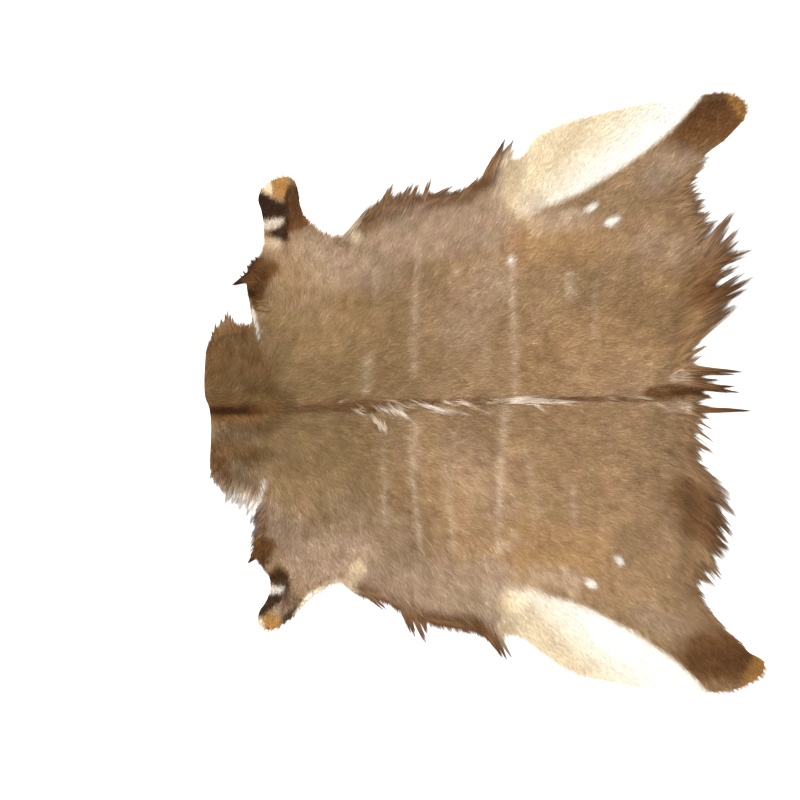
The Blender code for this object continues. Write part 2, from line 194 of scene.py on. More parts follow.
# The outline of the leather: a corner is sharp, a bend is smooth
RIGHT_SIDE = (
    # landmark, behind, out, kind
    ("neck edge, near", 3, 12, "bend"),
    ("neck edge", 0, 42, "bend"),
    ("neck corner", 4, 130, "corner"),
    ("neck side", 35, 182, "corner"),
    ("neck notch", 115, 184, "corner"),
    ("shoulder low", 108, 235, "bend"),
    ("shoulder", 101, 285, "bend"),
    ("shoulder high", 108, 325, "bend"),
    ("shoulder end", 134, 350, "bend"),
    ("foreleg front", 142, 402, "bend"),
    ("foreleg shin", 136, 455, "bend"),
    ("foreleg end, low", 128, 490, "bend"),
    ("foreleg end, front", 147, 520, "bend"),
    ("foreleg end", 183, 539, "bend"),
    ("foreleg end, high", 212, 537, "bend"),
    ("foreleg end, back", 228, 508, "bend"),
    ("foreleg back", 234, 468, "bend"),
    ("armpit front", 252, 430, "bend"),
    ("armpit", 320, 396, "bend"),
    ("belly front", 368, 425, "bend"),
    ("belly mane front", 405, 470, "bend"),
    ("belly mane", 467, 484, "bend"),
    ("belly mane back", 565, 492, "bend"),
    ("flank low", 633, 515, "bend"),
    ("flank", 676, 553, "bend"),
    ("flank tip", 708, 590, "corner"),
    ("groin front", 733, 574, "bend"),
    ("groin", 790, 632, "bend"),
    ("thigh inside", 895, 675, "bend"),
    ("hock inside", 1035, 710, "bend"),
    ("hind leg inside", 1170, 732, "bend"),
    ("hind leg end, inside", 1258, 733, "bend"),
    ("hind leg end", 1290, 700, "bend"),
    ("hock outside", 1252, 637, "bend"),
    ("thigh outside", 1180, 575, "bend"),
    ("buttock", 1144, 508, "bend"),
    ("rump mane high", 1150, 474, "bend"),
    ("rump mane top", 1170, 436, "bend"),
    ("rump mane", 1188, 375, "bend"),
    ("rump mane middle", 1196, 320, "bend"),
    ("rump mane low", 1196, 240, "bend"),
    ("rump low", 1168, 170, "bend"),
    ("tail notch", 1148, 112, "bend"),
    ("tail root", 1168, 55, "bend"),
)
LEFT_SIDE = (
    ("neck edge", 12, 10, "bend"),
    ("neck corner", 13, 154, "corner"),
    ("neck side", 40, 194, "bend"),
    ("neck side, back", 86, 212, "bend"),
    ("neck notch", 118, 230, "corner"),
    ("shoulder front", 121, 300, "bend"),
    ("shoulder", 118, 350, "bend"),
    ("shoulder end", 140, 385, "bend"),
    ("foreleg front", 157, 420, "bend"),
    ("foreleg shin", 150, 460, "bend"),
    ("foreleg end, low", 128, 500, "bend"),
    ("foreleg end, front", 135, 528, "bend"),
    ("foreleg end", 160, 537, "bend"),
    ("foreleg end, back", 198, 518, "bend"),
    ("foreleg back", 235, 486, "bend"),
    ("armpit front", 266, 450, "bend"),
    ("armpit", 318, 425, "bend"),
    ("belly front", 370, 453, "bend"),
    ("belly mane front", 436, 469, "bend"),
    ("belly mane low", 476, 494, "bend"),
    ("belly mane", 518, 514, "bend"),
    ("belly mane back", 590, 528, "bend"),
    ("flank low", 645, 538, "bend"),
    ("flank tip", 702, 572, "corner"),
    ("groin front", 722, 542, "bend"),
    ("groin", 790, 580, "bend"),
    ("thigh inside", 860, 627, "bend"),
    ("hock inside", 990, 664, "bend"),
    ("hind leg inside", 1190, 685, "bend"),
    ("hind leg end, inside", 1290, 667, "bend"),
    ("hind leg end", 1334, 616, "bend"),
    ("hock outside", 1294, 584, "bend"),
    ("thigh outside", 1196, 488, "bend"),
    ("buttock", 1158, 434, "corner"),
    ("rump mane high", 1170, 406, "bend"),
    ("rump mane top", 1190, 370, "bend"),
    ("rump mane", 1202, 320, "bend"),
    ("rump mane middle", 1204, 262, "bend"),
    ("rump mane low", 1190, 200, "bend"),
    ("rump low", 1168, 150, "bend"),
    ("tail notch", 1154, 85, "bend"),
    ("tail root", 1168, 35, "bend"),
)

# Soft folds in the leather: troughs below zero and ridges above it
FOLDS = (
    # fold, side, behind and out where it starts, behind and out where it ends, half width, rise
    ("neck furrow", LEFT, 10, 18, 150, 12, 12, -2),
    ("neck ridge, right", RIGHT, 10, 20, 190, 14, 18, 2.6),
    ("neck ridge, left", LEFT, 20, 52, 180, 36, 18, 2.4),
    ("neck pleat, right", RIGHT, 30, 105, 160, 70, 20, 1.8),
    ("neck pleat, left", LEFT, 40, 130, 170, 85, 22, 2),
    ("foreleg crease, right", RIGHT, 196, 520, 196, 415, 7, -1.6),
    ("foreleg crease, left", LEFT, 196, 505, 222, 435, 7, -1.4),
    ("armpit pucker, right", RIGHT, 330, 400, 400, 330, 18, 2),
    ("armpit pucker, left", LEFT, 330, 420, 405, 350, 18, 2),
    ("flank pucker, right", RIGHT, 720, 520, 800, 420, 22, 2),
    ("flank pucker, left", LEFT, 715, 530, 800, 430, 22, 2),
)

# The lie of the coat. Aim: where the hair points, in degrees from straight back, turning outwards.
LIE = (
    # spot, behind, out, aim, hair length
    ("poll", 30, 20, 8, 26),
    ("neck, near", 50, 60, 76, 22),
    ("neck side", 40, 120, 86, 22),
    ("neck side, back", 100, 160, 84, 22),
    ("neck back", 120, 90, 74, 22),
    ("withers", 200, 30, 12, 26),
    ("shoulder blade", 200, 150, 42, 21),
    ("shoulder", 160, 270, 95, 21),
    ("shoulder, outer", 200, 330, 78, 19),
    ("foreleg", 190, 430, 92, 13),
    ("foreleg end", 180, 520, 92, 11),
    ("armpit", 330, 360, 66, 18),
    ("back, front", 400, 50, 10, 23),
    ("ribs, front", 420, 220, 34, 20),
    ("belly, front", 450, 420, 60, 24),
    ("back, middle", 620, 50, 7, 23),
    ("ribs, back", 630, 240, 30, 20),
    ("belly, back", 630, 450, 58, 26),
    ("flank", 720, 530, 66, 24),
    ("loin", 840, 60, 5, 22),
    ("hip", 860, 280, 26, 20),
    ("thigh, front", 820, 500, 52, 22),
    ("thigh, inside", 1000, 620, 42, 22),
    ("rump", 1020, 100, 8, 24),
    ("rump, side", 1040, 320, 30, 24),
    ("thigh", 1020, 460, 42, 20),
    ("hind leg", 1180, 640, 44, 16),
    ("rump mane", 1180, 320, 34, 34),
    ("rump mane, high", 1160, 450, 44, 30),
    ("tail", 1160, 30, 4, 32),
)
LIE_SMOOTHING = 0.03

# Rows of short locks along the rim. Each row runs between two places. Depth: how far inwards its locks root.
FRINGE = (
    # row, side, behind and out of the start, behind and out of the end, locks, shortest, longest, aims, depth
    ("neck", RIGHT, 24, 160, 46, 186, 16, 8, 20, 112, 98, 20),
    ("neck, back", RIGHT, 46, 186, 94, 180, 18, 4, 18, 98, 74, 16),
    ("shoulder low", RIGHT, 124, 222, 106, 268, 16, 4, 10, 176, 164, 30),
    ("shoulder", RIGHT, 100, 290, 124, 340, 20, 6, 12, 156, 134, 34),
    ("shoulder end", RIGHT, 124, 340, 144, 346, 8, 4, 9, 130, 112, 24),
    ("foreleg back", RIGHT, 238, 448, 300, 402, 12, 3, 8, 74, 60, 14),
    ("belly front", RIGHT, 366, 424, 408, 470, 16, 6, 16, 52, 56, 24),
    ("belly", RIGHT, 408, 470, 540, 490, 44, 6, 40, 58, 62, 36),
    ("belly back", RIGHT, 540, 490, 630, 514, 30, 4, 14, 46, 34, 30),
    ("flank", RIGHT, 630, 514, 704, 586, 30, 6, 22, 44, 56, 45),
    ("rump high", RIGHT, 1150, 528, 1168, 456, 24, 6, 56, 34, 24, 40),
    ("rump top", RIGHT, 1170, 456, 1200, 420, 16, 8, 54, 38, 40, 50),
    ("rump", RIGHT, 1200, 420, 1206, 310, 44, 6, 52, 40, 34, 70),
    ("rump middle", RIGHT, 1206, 315, 1212, 225, 44, 12, 76, 34, 26, 80),
    ("rump corner", RIGHT, 1204, 232, 1186, 192, 16, 22, 50, 33, 32, 60),
    ("rump low", RIGHT, 1214, 215, 1162, 130, 38, 4, 24, 30, 28, 36),
    ("tail notch", RIGHT, 1162, 128, 1154, 96, 10, 4, 16, 28, 14, 30),
    ("tail", RIGHT, 1158, 92, 1184, 10, 34, 10, 50, 4, -1, 40),
    ("neck", LEFT, 20, 164, 56, 204, 18, 8, 26, 112, 104, 26),
    ("neck, back", LEFT, 56, 204, 114, 230, 26, 12, 56, 106, 108, 34),
    ("shoulder", LEFT, 126, 250, 122, 330, 24, 4, 28, 134, 128, 30),
    ("shoulder end", LEFT, 120, 340, 152, 388, 18, 4, 26, 130, 112, 26),
    ("foreleg back", LEFT, 226, 480, 312, 418, 26, 4, 10, 74, 56, 12),
    ("belly front", LEFT, 368, 450, 444, 472, 26, 4, 11, 34, 44, 30),
    ("belly", LEFT, 450, 478, 530, 516, 28, 4, 26, 50, 58, 44),
    ("belly back", LEFT, 530, 518, 648, 538, 36, 3, 10, 26, 30, 34),
    ("flank", LEFT, 648, 538, 708, 572, 24, 8, 24, 46, 56, 45),
    ("rump high", LEFT, 1162, 440, 1184, 396, 18, 6, 50, 44, 46, 40),
    ("rump top", LEFT, 1182, 398, 1206, 330, 30, 8, 78, 48, 44, 60),
    ("rump", LEFT, 1206, 334, 1210, 232, 46, 8, 94, 44, 38, 70),
    ("rump low", LEFT, 1204, 226, 1162, 130, 38, 6, 66, 38, 36, 40),
    ("tail notch", LEFT, 1162, 130, 1160, 46, 28, 6, 62, 40, 28, 26),
    ("tail", LEFT, 1166, 44, 1186, 4, 16, 10, 36, 14, 4, 50),
    ("leg back", LEFT, 1156, 436, 1206, 500, 24, 6, 46, 32, 30, 24),
    ("leg back, low", LEFT, 1206, 500, 1286, 578, 26, 4, 22, 32, 34, 14),
    ("leg back", RIGHT, 1148, 520, 1200, 590, 22, 4, 40, 28, 28, 18),
)

# Single locks, by where their tips lie. Bend: how much the lock turns from its root to its tip, in degrees.
LONG_LOCKS = (
    # mane, side, its locks: tip behind, tip out, aim at the tip, length, half width, strands, bend
    ("neck", RIGHT, (
        (29, 192, 96, 32, 3.5, 22, 8), (43, 204, 98, 36, 5, 30, 4), (53, 214, 94, 44, 6, 46, 0),
        (59, 223, 88, 50, 6, 46, 0), (65, 214, 86, 40, 5, 30, 0), (70, 206, 92, 34, 5, 28, -6),
        (110, 190, 60, 20, 4.5, 18, 0),
    )),
    ("shoulder", RIGHT, (
        (123, 350, 132, 24, 5.5, 34, 0), (112, 343, 134, 24, 5, 30, 0), (103, 329, 138, 24, 5, 30, 0),
        (94, 316, 132, 26, 5, 34, 12), (88, 305, 146, 26, 5, 30, 0), (90, 295, 158, 24, 5, 26, 0),
        (68, 281, 180, 62, 6.5, 60, -66),
    )),
    ("belly", RIGHT, (
        (409, 484, 52, 45, 6, 30, 0), (455, 531, 62, 82, 7.5, 50, -6), (453, 508, 64, 50, 5, 24, 0),
        (473, 512, 64, 39, 5, 26, 0), (503, 534, 58, 54, 6.5, 40, -6), (515, 531, 64, 44, 5.5, 28, 0),
        (544, 548, 70, 64, 5, 34, -6), (552, 506, 42, 26, 4.5, 16, 0), (601, 524, 33, 32, 5, 20, 0),
    )),
    ("flank", RIGHT, (
        (716, 628, 61, 104, 12, 110, -10), (737, 629, 63, 82, 8, 60, -8), (728, 618, 60, 90, 9, 50, -6),
        (748, 619, 58, 50, 4, 12, 0),
    )),
    ("rump", RIGHT, (
        (1186, 570, 35, 22, 4, 14, 0), (1170, 543, 33, 34, 4.5, 18, 0), (1192, 503, 22, 43, 5, 24, 8),
        (1199, 486, 24, 48, 5.5, 28, 8), (1190, 470, 22, 40, 5, 20, 8), (1210, 452, 18, 56, 6, 30, 10),
        (1222, 438, 26, 50, 5.5, 24, 8), (1269, 465, 44, 90, 9, 80, -8), (1260, 441, 48, 64, 6, 36, -8),
        (1281, 425, 40, 80, 7, 52, -8), (1282, 399, 36, 80, 7.5, 52, -8), (1279, 382, 38, 80, 7, 48, -8),
        (1318, 372, 28, 130, 8.5, 84, 16), (1294, 337, 32, 70, 5, 26, 6), (1298, 320, 34, 74, 7, 44, 0),
        (1320, 308, 28, 86, 6.5, 52, 0), (1308, 282, 26, 80, 6.5, 46, 0), (1282, 245, 30, 72, 7, 48, -6),
        (1266, 236, 30, 70, 7, 40, 0), (1262, 252, 30, 72, 7, 50, 0), (1245, 236, 32, 64, 7, 46, 0),
        (1205, 176, 34, 20, 4, 14, 0), (1207, 144, 26, 40, 4.5, 24, 0), (1199, 125, 30, 40, 4.5, 22, 0),
    )),
    ("tail", RIGHT, (
        (1281, 76, -2, 124, 8, 90, 4), (1262, 69, -1, 106, 5, 40, 3), (1226, 57, 0, 66, 7, 44, 0),
        (1262, 42, 0, 90, 8.5, 70, 0), (1272, 27, -4, 104, 9, 80, 8), (1208, 14, -10, 46, 7.5, 40, 0),
    )),
    ("tail", LEFT, (
        (1300, 16, 4, 124, 8, 84, 6), (1205, 36, 18, 42, 4.5, 20, 0), (1211, 62, 30, 48, 4.5, 22, 0),
        (1215, 93, 38, 66, 4.5, 30, 6),
    )),
    ("rump", LEFT, (
        (1219, 123, 36, 64, 5, 32, 4), (1193, 135, 41, 40, 4.5, 20, 0), (1248, 200, 36, 74, 5.5, 38, 4),
        (1262, 222, 37, 70, 5, 30, 4), (1270, 240, 36, 74, 5.5, 40, 4), (1268, 258, 42, 66, 5, 30, 0),
        (1272, 275, 43, 70, 6, 40, 0), (1262, 298, 45, 62, 5.5, 34, 0), (1266, 323, 47, 76, 6, 42, 0),
        (1250, 334, 47, 60, 5.5, 32, 0), (1252, 352, 42, 62, 5.5, 34, 6), (1242, 374, 48, 66, 6, 36, 0),
        (1230, 398, 50, 66, 6, 34, 0), (1234, 423, 53, 94, 8, 64, 0), (1220, 440, 44, 62, 5, 26, 0),
        (1196, 466, 44, 48, 5, 22, 0),
    )),
    ("neck", LEFT, (
        (58, 228, 108, 36, 5, 26, 0), (68, 240, 108, 42, 5, 26, 0), (78, 240, 110, 38, 4.5, 22, 0),
        (88, 248, 114, 46, 5.5, 34, 0), (102, 268, 112, 62, 5.5, 40, 0), (111, 286, 104, 86, 5.5, 50, -14),
    )),
    ("shoulder", LEFT, (
        (116, 276, 120, 26, 4.5, 24, 0), (122, 314, 120, 26, 4.5, 24, 0), (106, 378, 134, 56, 8.5, 70, 0),
        (113, 360, 134, 40, 6, 36, 0), (133, 382, 120, 28, 5, 24, 0), (148, 394, 116, 24, 5, 22, 0),
    )),
    ("belly", LEFT, (
        (438, 490, 37, 60, 6, 40, -6), (504, 557, 64, 92, 10, 100, -18), (532, 573, 62, 66, 6.5, 50, -8),
        (536, 551, 66, 44, 5, 22, 0), (638, 547, 38, 40, 4.5, 24, 0),
    )),
    ("flank", LEFT, (
        (710, 601, 56, 86, 8.5, 84, -12), (721, 607, 60, 82, 7, 52, -10), (734, 605, 58, 80, 6, 34, -4),
    )),
)

# Pieces of long hair, by the manes that they hold
LONG_HAIR = (
    # piece, its manes, with which the names of its rows of short locks start
    ("belly_and_flank_hair", ("belly", "flank")),
    ("rump_and_leg_hair", ("rump", "leg")),
    ("tail_neck_and_shoulder_hair", ("tail", "neck", "shoulder", "foreleg")),
)

# Tufts of light hair that lie on the crest, by where their tips lie. Aim: from straight back to the left.
CREST = {
    # colour: tip behind, tip to the left, aim, length, half width, strands, bend
    "pale": (
        (396, 34, 24, 52, 3, 18, -14), (440, 34, 34, 50, 3, 12, -16), (345, -14, -20, 34, 2, 5, 14),
        (400, 18, 16, 50, 4, 10, -8), (480, -2, 6, 50, 3, 8, 0), (520, 16, 18, 54, 4, 12, -8),
        (575, 26, 24, 50, 3, 10, -8), (640, -2, 6, 60, 3.5, 12, 0), (745, -4, 4, 60, 3.5, 12, 0),
        (505, 26, 22, 60, 3.5, 10, -16), (666, 18, 18, 50, 3, 18, -8), (706, -2, 6, 50, 3, 12, 0),
        (992, -12, 4, 50, 2, 7, 0), (1052, -14, 2, 52, 2, 8, 0), (1092, -8, 8, 86, 2.5, 14, 0),
        (1112, 14, 20, 60, 3, 14, 0), (1120, 24, 26, 40, 2, 8, 0),
    ),
    "white": (
        (428, 62, 44, 56, 3, 30, -18), (438, 77, 62, 48, 4.2, 46, -24), (428, 70, 60, 44, 3.5, 24, -24),
        (452, 30, 32, 46, 3.5, 12, -16), (474, 34, 32, 52, 4, 20, -20), (494, 40, 32, 58, 4, 22, -20),
        (540, 10, 14, 48, 3, 12, -10), (560, 14, 16, 54, 3.5, 14, -10), (592, 22, 12, 74, 4.4, 30, 0),
        (618, 24, 14, 56, 3.6, 20, 0), (640, 31, 18, 48, 2.6, 12, -6), (604, 4, 12, 54, 3, 12, -8),
        (650, 6, 10, 58, 3.5, 22, -8), (700, 30, 16, 60, 3, 12, -6), (790, -12, -3, 88, 4.4, 36, 4),
        (850, -5, 5, 104, 4.4, 40, 4), (904, -2, 3, 96, 3, 20, 0), (808, 14, 28, 40, 2.5, 10, -14),
        (822, 26, 32, 46, 2.5, 10, -10),
    ),
}
CREST_COLOURS = {
    # family: layer, weakest, strongest
    "brown": (("brown", 0.60, 1.00), ("black", 0.00, 0.55)),
    "pale": (("pale", 0.10, 0.75), ("brown", 0.00, 0.20)),
    "white": (("pale", 0.45, 1.00), ("white", 0.00, 0.35)),
}
CREST_LINE = (
    # stretch, behind and left of its start, behind and left of its end, strands, hair length, scatter, colour
    ("withers line", 170, 12, 340, 8, 300, 34, 4.4, "brown"),
    ("withers line, back", 300, 6, 400, 2, 130, 34, 4, "brown"),
    # The front shadow is painted shadow: dark brown strands laid where the crest's front lies in shade
    ("front shadow", 300, 4, 490, 12, 300, 44, 5.6, "brown"),
    ("back line", 440, -4, 760, -6, 300, 34, 3.2, "brown"),
    ("white back line", 480, 6, 800, -8, 90, 40, 4.6, "pale"),
    ("loin line", 760, -12, 1090, -12, 420, 34, 2.4, "brown"),
    ("tail line", 1070, -34, 1190, -44, 260, 44, 4, "brown"),
)

# Markings by layer. Each is a soft stroke between two places, or a spot where they are close.
MARKS = (
    # layer, side, strokes: behind and out of the start and of the end, half width, softness, strength
    ("pale", RIGHT, (
        (730, 340, 734, 240, 3.2, 6, 0.62), (734, 240, 740, 30, 3, 8, 0.42),
        (512, 385, 503, 240, 1.8, 8, 0.32), (503, 240, 500, 66, 2.4, 8, 0.4),
        (389, 110, 386, 30, 4, 12, 0.35), (408, 317, 406, 247, 2, 8, 0.25),
        (870, 300, 872, 255, 6, 14, 0.35), (934, 290, 930, 140, 3, 10, 0.2),
        (668, 150, 670, 60, 2, 10, 0.22), (862, 450, 878, 456, 5, 8, 0.7), (600, 312, 606, 310, 3.4, 8, 0.5),
        (695, 497, 699, 499, 6, 12, 0.6), (1116, 62, 1136, 66, 6, 10, 0.75),
        (790, 422, 890, 434, 8, 30, 0.45), (690, 285, 715, 265, 8, 30, 0.18),
        (688, 500, 716, 592, 4, 14, 0.28),
    )),
    ("pale", LEFT, (
        (714, 15, 704, 180, 4.2, 9, 0.5), (704, 180, 699, 352, 3, 7, 0.56),
        (500, 45, 498, 180, 2.8, 10, 0.38), (498, 180, 516, 352, 2, 6, 0.5),
        (576, 150, 596, 350, 2, 6, 0.38), (425, 70, 431, 285, 2.2, 8, 0.34),
        (766, 110, 795, 260, 2.6, 8, 0.26), (875, 195, 881, 300, 2.2, 7, 0.34),
        (850, 391, 862, 396, 4, 8, 0.55), (872, 446, 884, 450, 5, 9, 0.55),
        (739, 308, 743, 318, 4.5, 8, 0.6), (716, 336, 724, 338, 5, 8, 0.6), (1120, 10, 1142, 6, 6, 10, 0.75),
        (688, 450, 692, 540, 10, 34, 0.42), (690, 380, 715, 400, 6, 24, 0.28),
        (790, 408, 880, 418, 8, 30, 0.42), (700, 520, 712, 574, 3, 10, 0.7), (34, 182, 66, 216, 5, 26, 0.8),
        (82, 206, 118, 232, 9, 26, 0.85), (18, 162, 52, 210, 5, 10, 0.85), (80, 165, 140, 175, 6, 40, 0.16),
        (20, 70, 130, 78, 4, 26, 0.12),
    )),
    ("white", RIGHT, (
        (914, 462, 927, 470, 5, 6, 0.9), (962, 430, 977, 437, 5.6, 8, 0.9),
        (729, 343, 732, 336, 4.4, 7, 0.58), (118, 226, 124, 198, 1.6, 4, 0.85),
        (124, 198, 134, 156, 0.6, 4, 0.8),
    )),
    ("white", LEFT, (
        (916, 422, 925, 428, 5.6, 6, 0.95), (984, 368, 989, 376, 4.8, 6, 0.9),
        (230, 500, 256, 457, 6, 8, 0.5), (256, 457, 320, 430, 6, 8, 0.5), (56, 222, 108, 244, 6, 16, 0.6),
        (80, 214, 112, 236, 7, 12, 0.66), (96, 240, 112, 290, 6, 20, 0.5), (147, 186, 134, 226, 0.8, 5, 0.8),
        (134, 226, 116, 262, 2.4, 6, 0.85),
    )),
    ("cream", RIGHT, (
        (150, 384, 176, 380, 5, 12, 0.4), (350, 400, 364, 396, 7, 14, 0.55),
    )),
    ("cream", LEFT, (
        (230, 500, 256, 457, 10, 6, 0.75), (256, 457, 320, 430, 10, 6, 0.75),
        (344, 432, 370, 392, 4, 26, 0.54),
    )),
    ("brown", RIGHT, (
        (372, 424, 460, 480, 14, 30, 0.62), (460, 484, 620, 502, 19, 26, 0.66),
        (620, 514, 700, 594, 14, 28, 0.72), (76, 176, 94, 168, 5, 12, 0.7), (128, 96, 165, 78, 8, 30, 0.4),
        (1190, 310, 1250, 330, 16, 50, 0.8), (1186, 255, 1250, 275, 20, 60, 0.95),
        (1200, 430, 1260, 440, 14, 40, 0.36), (1170, 480, 1210, 490, 10, 30, 0.35),
        (206, 500, 220, 420, 10, 20, 0.55), (1160, 665, 1290, 690, 30, 76, 1.0),
        (1060, 26, 1240, 38, 7, 16, 1.0), (1160, 76, 1260, 74, 6, 14, 0.9),
        (1170, 50, 1225, 54, 12, 18, 0.85), (290, 6, 330, 2, 3, 8, 0.45), (385, 8, 430, 4, 4, 10, 0.38),
        (620, 12, 700, 12, 2, 10, 0.35), (390, 4, 620, 4, 3, 12, 0.45), (316, 388, 342, 380, 4, 14, 0.5),
        (12, 80, 30, 130, 16, 40, 0.3), (640, 512, 680, 530, 6, 20, 0.8),
    )),
    ("brown", LEFT, (
        (378, 452, 490, 506, 14, 26, 0.8), (490, 514, 640, 534, 16, 26, 0.82),
        (640, 534, 705, 584, 14, 26, 0.85), (124, 250, 134, 310, 10, 20, 0.7), (0, 18, 126, 18, 11, 16, 1.0),
        (126, 16, 170, 10, 5, 18, 0.5), (1150, 215, 1200, 240, 18, 60, 0.8),
        (1170, 275, 1230, 310, 18, 50, 0.85), (1040, 590, 1140, 644, 2, 30, 0.6),
        (1190, 340, 1240, 350, 16, 50, 0.4), (1186, 390, 1230, 420, 12, 40, 0.3),
        (1185, 80, 1206, 130, 5, 26, 0.45), (1188, 602, 1300, 600, 32, 74, 0.97),
        (225, 12, 262, 9, 5, 10, 0.55), (335, 10, 420, 13, 5, 11, 0.62), (240, 6, 335, 6, 6, 11, 0.46),
        (400, 6, 490, 10, 4, 10, 0.5), (1160, 90, 1170, 130, 6, 30, 0.4), (1172, 12, 1260, 14, 6, 18, 0.95),
        (200, 6, 390, 6, 1, 8, 0.4), (194, 450, 212, 470, 8, 20, 0.34), (205, 423, 195, 459, 2.4, 6, 0.65),
        (195, 459, 187, 500, 1.8, 6, 0.5), (16, 130, 40, 160, 10, 30, 0.6),
        (640, 514, 690, 548, 6, 14, 0.95), (150, 14, 290, 11, 3, 12, 0.55),
    )),
    ("black", RIGHT, (
        (60, 282, 120, 260, 5, 12, 0.8), (90, 290, 120, 345, 6, 14, 0.75),
        (1150, 690, 1230, 720, 6, 40, 0.35), (1120, 30, 1200, 34, 4, 16, 0.3),
        (214, 522, 222, 452, 5, 16, 0.5), (120, 330, 140, 260, 6, 30, 0.34),
        (540, 496, 600, 500, 4, 16, 0.4), (385, 440, 410, 455, 4, 16, 0.25),
        (206, 480, 206, 420, 4, 10, 0.45),
    )),
    ("black", LEFT, (
        (118, 262, 124, 300, 4, 12, 0.6), (126, 350, 150, 366, 3, 16, 0.3), (100, 378, 140, 390, 4, 12, 0.7),
        (5, 17, 100, 16, 5, 11, 0.78), (90, 16, 124, 13, 3, 14, 0.34), (1165, 225, 1215, 290, 12, 40, 0.16),
        (1176, 616, 1286, 600, 10, 36, 0.32), (540, 526, 620, 536, 2, 12, 0.1),
        (192, 430, 198, 470, 3, 12, 0.5),
    )),
    ("gold", RIGHT, (
        (130, 320, 175, 325, 6, 14, 0.6), (32, 70, 42, 150, 8, 20, 0.4), (770, 370, 900, 375, 28, 60, 0.65),
        (860, 80, 1080, 200, 50, 120, 0.6),
    )),
    ("gold", LEFT, (
        (86, 34, 130, 46, 5, 16, 0.8), (340, 424, 366, 396, 6, 20, 0.6), (770, 340, 900, 350, 25, 70, 0.65),
    )),
    ("orange", RIGHT, (
        (1300, 680, 1262, 738, 14, 18, 0.6),
    )),
    ("orange", LEFT, (
        (1338, 590, 1306, 672, 18, 18, 0.6),
    )),
    ("grey", RIGHT, (
        (38, 186, 70, 170, 6, 14, 0.5), (1186, 376, 1250, 400, 16, 40, 0.5),
        (470, 404, 680, 430, 36, 60, 1.0), (260, 340, 400, 340, 36, 70, 0.9),
        (180, 320, 250, 240, 24, 60, 0.7), (1070, 380, 1110, 360, 20, 50, 0.6),
        (650, 440, 730, 430, 16, 40, 0.7), (840, 430, 920, 430, 12, 40, 0.5),
        (880, 60, 1020, 80, 30, 60, 0.5), (620, 180, 690, 330, 24, 60, 0.5),
        (690, 530, 728, 610, 10, 20, 1.0), (1070, 540, 1140, 590, 14, 40, 1.0),
        (222, 505, 230, 430, 4, 12, 0.5),
    )),
    ("grey", LEFT, (
        (300, 10, 490, 14, 6, 14, 0.6), (350, 250, 460, 330, 24, 70, 0.5), (470, 60, 490, 130, 14, 50, 0.6),
        (420, 420, 680, 450, 34, 70, 0.9), (160, 270, 200, 310, 24, 50, 0.8),
        (260, 370, 360, 370, 36, 70, 1.0), (688, 530, 708, 590, 8, 14, 1.0),
        (660, 385, 720, 400, 12, 30, 0.8), (600, 120, 700, 220, 24, 70, 0.4),
        (1050, 500, 1160, 560, 10, 40, 0.6),
    )),
    ("dun", RIGHT, (
        (180, 50, 340, 60, 50, 110, 0.7), (180, 280, 260, 80, 40, 90, 0.66),
        (360, 200, 440, 80, 30, 100, 0.6),
    )),
    ("dun", LEFT, (
        (180, 80, 400, 120, 60, 130, 0.6),
    )),
    # Painted shade and painted light: dim and bright make stretches of the coat darker and lighter as light
    # and shade fall on the lying hair, and in places give the coat's own tone, as on the left foreleg.
    ("dim", RIGHT, (
        (650, 510, 700, 600, 6, 30, 0.6), (420, 300, 510, 280, 30, 70, 0.5),
        (210, 40, 440, 50, 20, 80, 0.32), (846, 312, 900, 250, 16, 56, 0.48),
        (1030, 240, 1090, 200, 26, 50, 0.52), (470, 186, 530, 236, 14, 44, 0.42),
        (770, 80, 830, 90, 20, 50, 0.34), (465, 430, 485, 430, 10, 30, 0.45),
        (1020, 490, 1070, 530, 14, 50, 0.45), (150, 165, 172, 110, 16, 50, 0.8),
    )),
    ("dim", LEFT, (
        (1110, 120, 1140, 280, 20, 60, 0.42), (400, 200, 480, 300, 40, 90, 0.5),
        (160, 240, 300, 280, 40, 90, 0.35), (780, 190, 920, 250, 20, 56, 0.34),
        (600, 64, 660, 110, 20, 50, 0.42), (160, 80, 380, 100, 40, 110, 0.5),
        (190, 450, 208, 480, 14, 20, 0.95), (800, 436, 1040, 566, 3, 16, 0.35),
        (62, 196, 72, 208, 4, 12, 0.6), (170, 480, 186, 496, 5, 10, 0.6),
    )),
    ("bright", RIGHT, (
        (760, 60, 1000, 80, 30, 100, 0.15), (770, 400, 880, 410, 26, 70, 0.4),
        (210, 330, 320, 240, 20, 60, 0.45), (640, 430, 740, 430, 16, 40, 0.4),
        (840, 430, 920, 430, 12, 40, 0.45), (1080, 420, 1130, 360, 16, 50, 0.5),
        (450, 404, 600, 410, 20, 60, 0.35), (640, 300, 720, 360, 20, 80, 0.25),
        (1070, 540, 1110, 560, 6, 40, 0.3),
    )),
    ("bright", LEFT, (
        (770, 390, 940, 400, 30, 70, 0.7), (420, 50, 500, 130, 14, 50, 0.5),
        (640, 350, 680, 380, 20, 50, 0.6), (880, 110, 1030, 120, 20, 50, 0.35),
        (270, 370, 350, 370, 20, 70, 0.45), (420, 420, 640, 430, 20, 70, 0.2),
        (520, 160, 900, 220, 60, 140, 0.6),
    )),
)

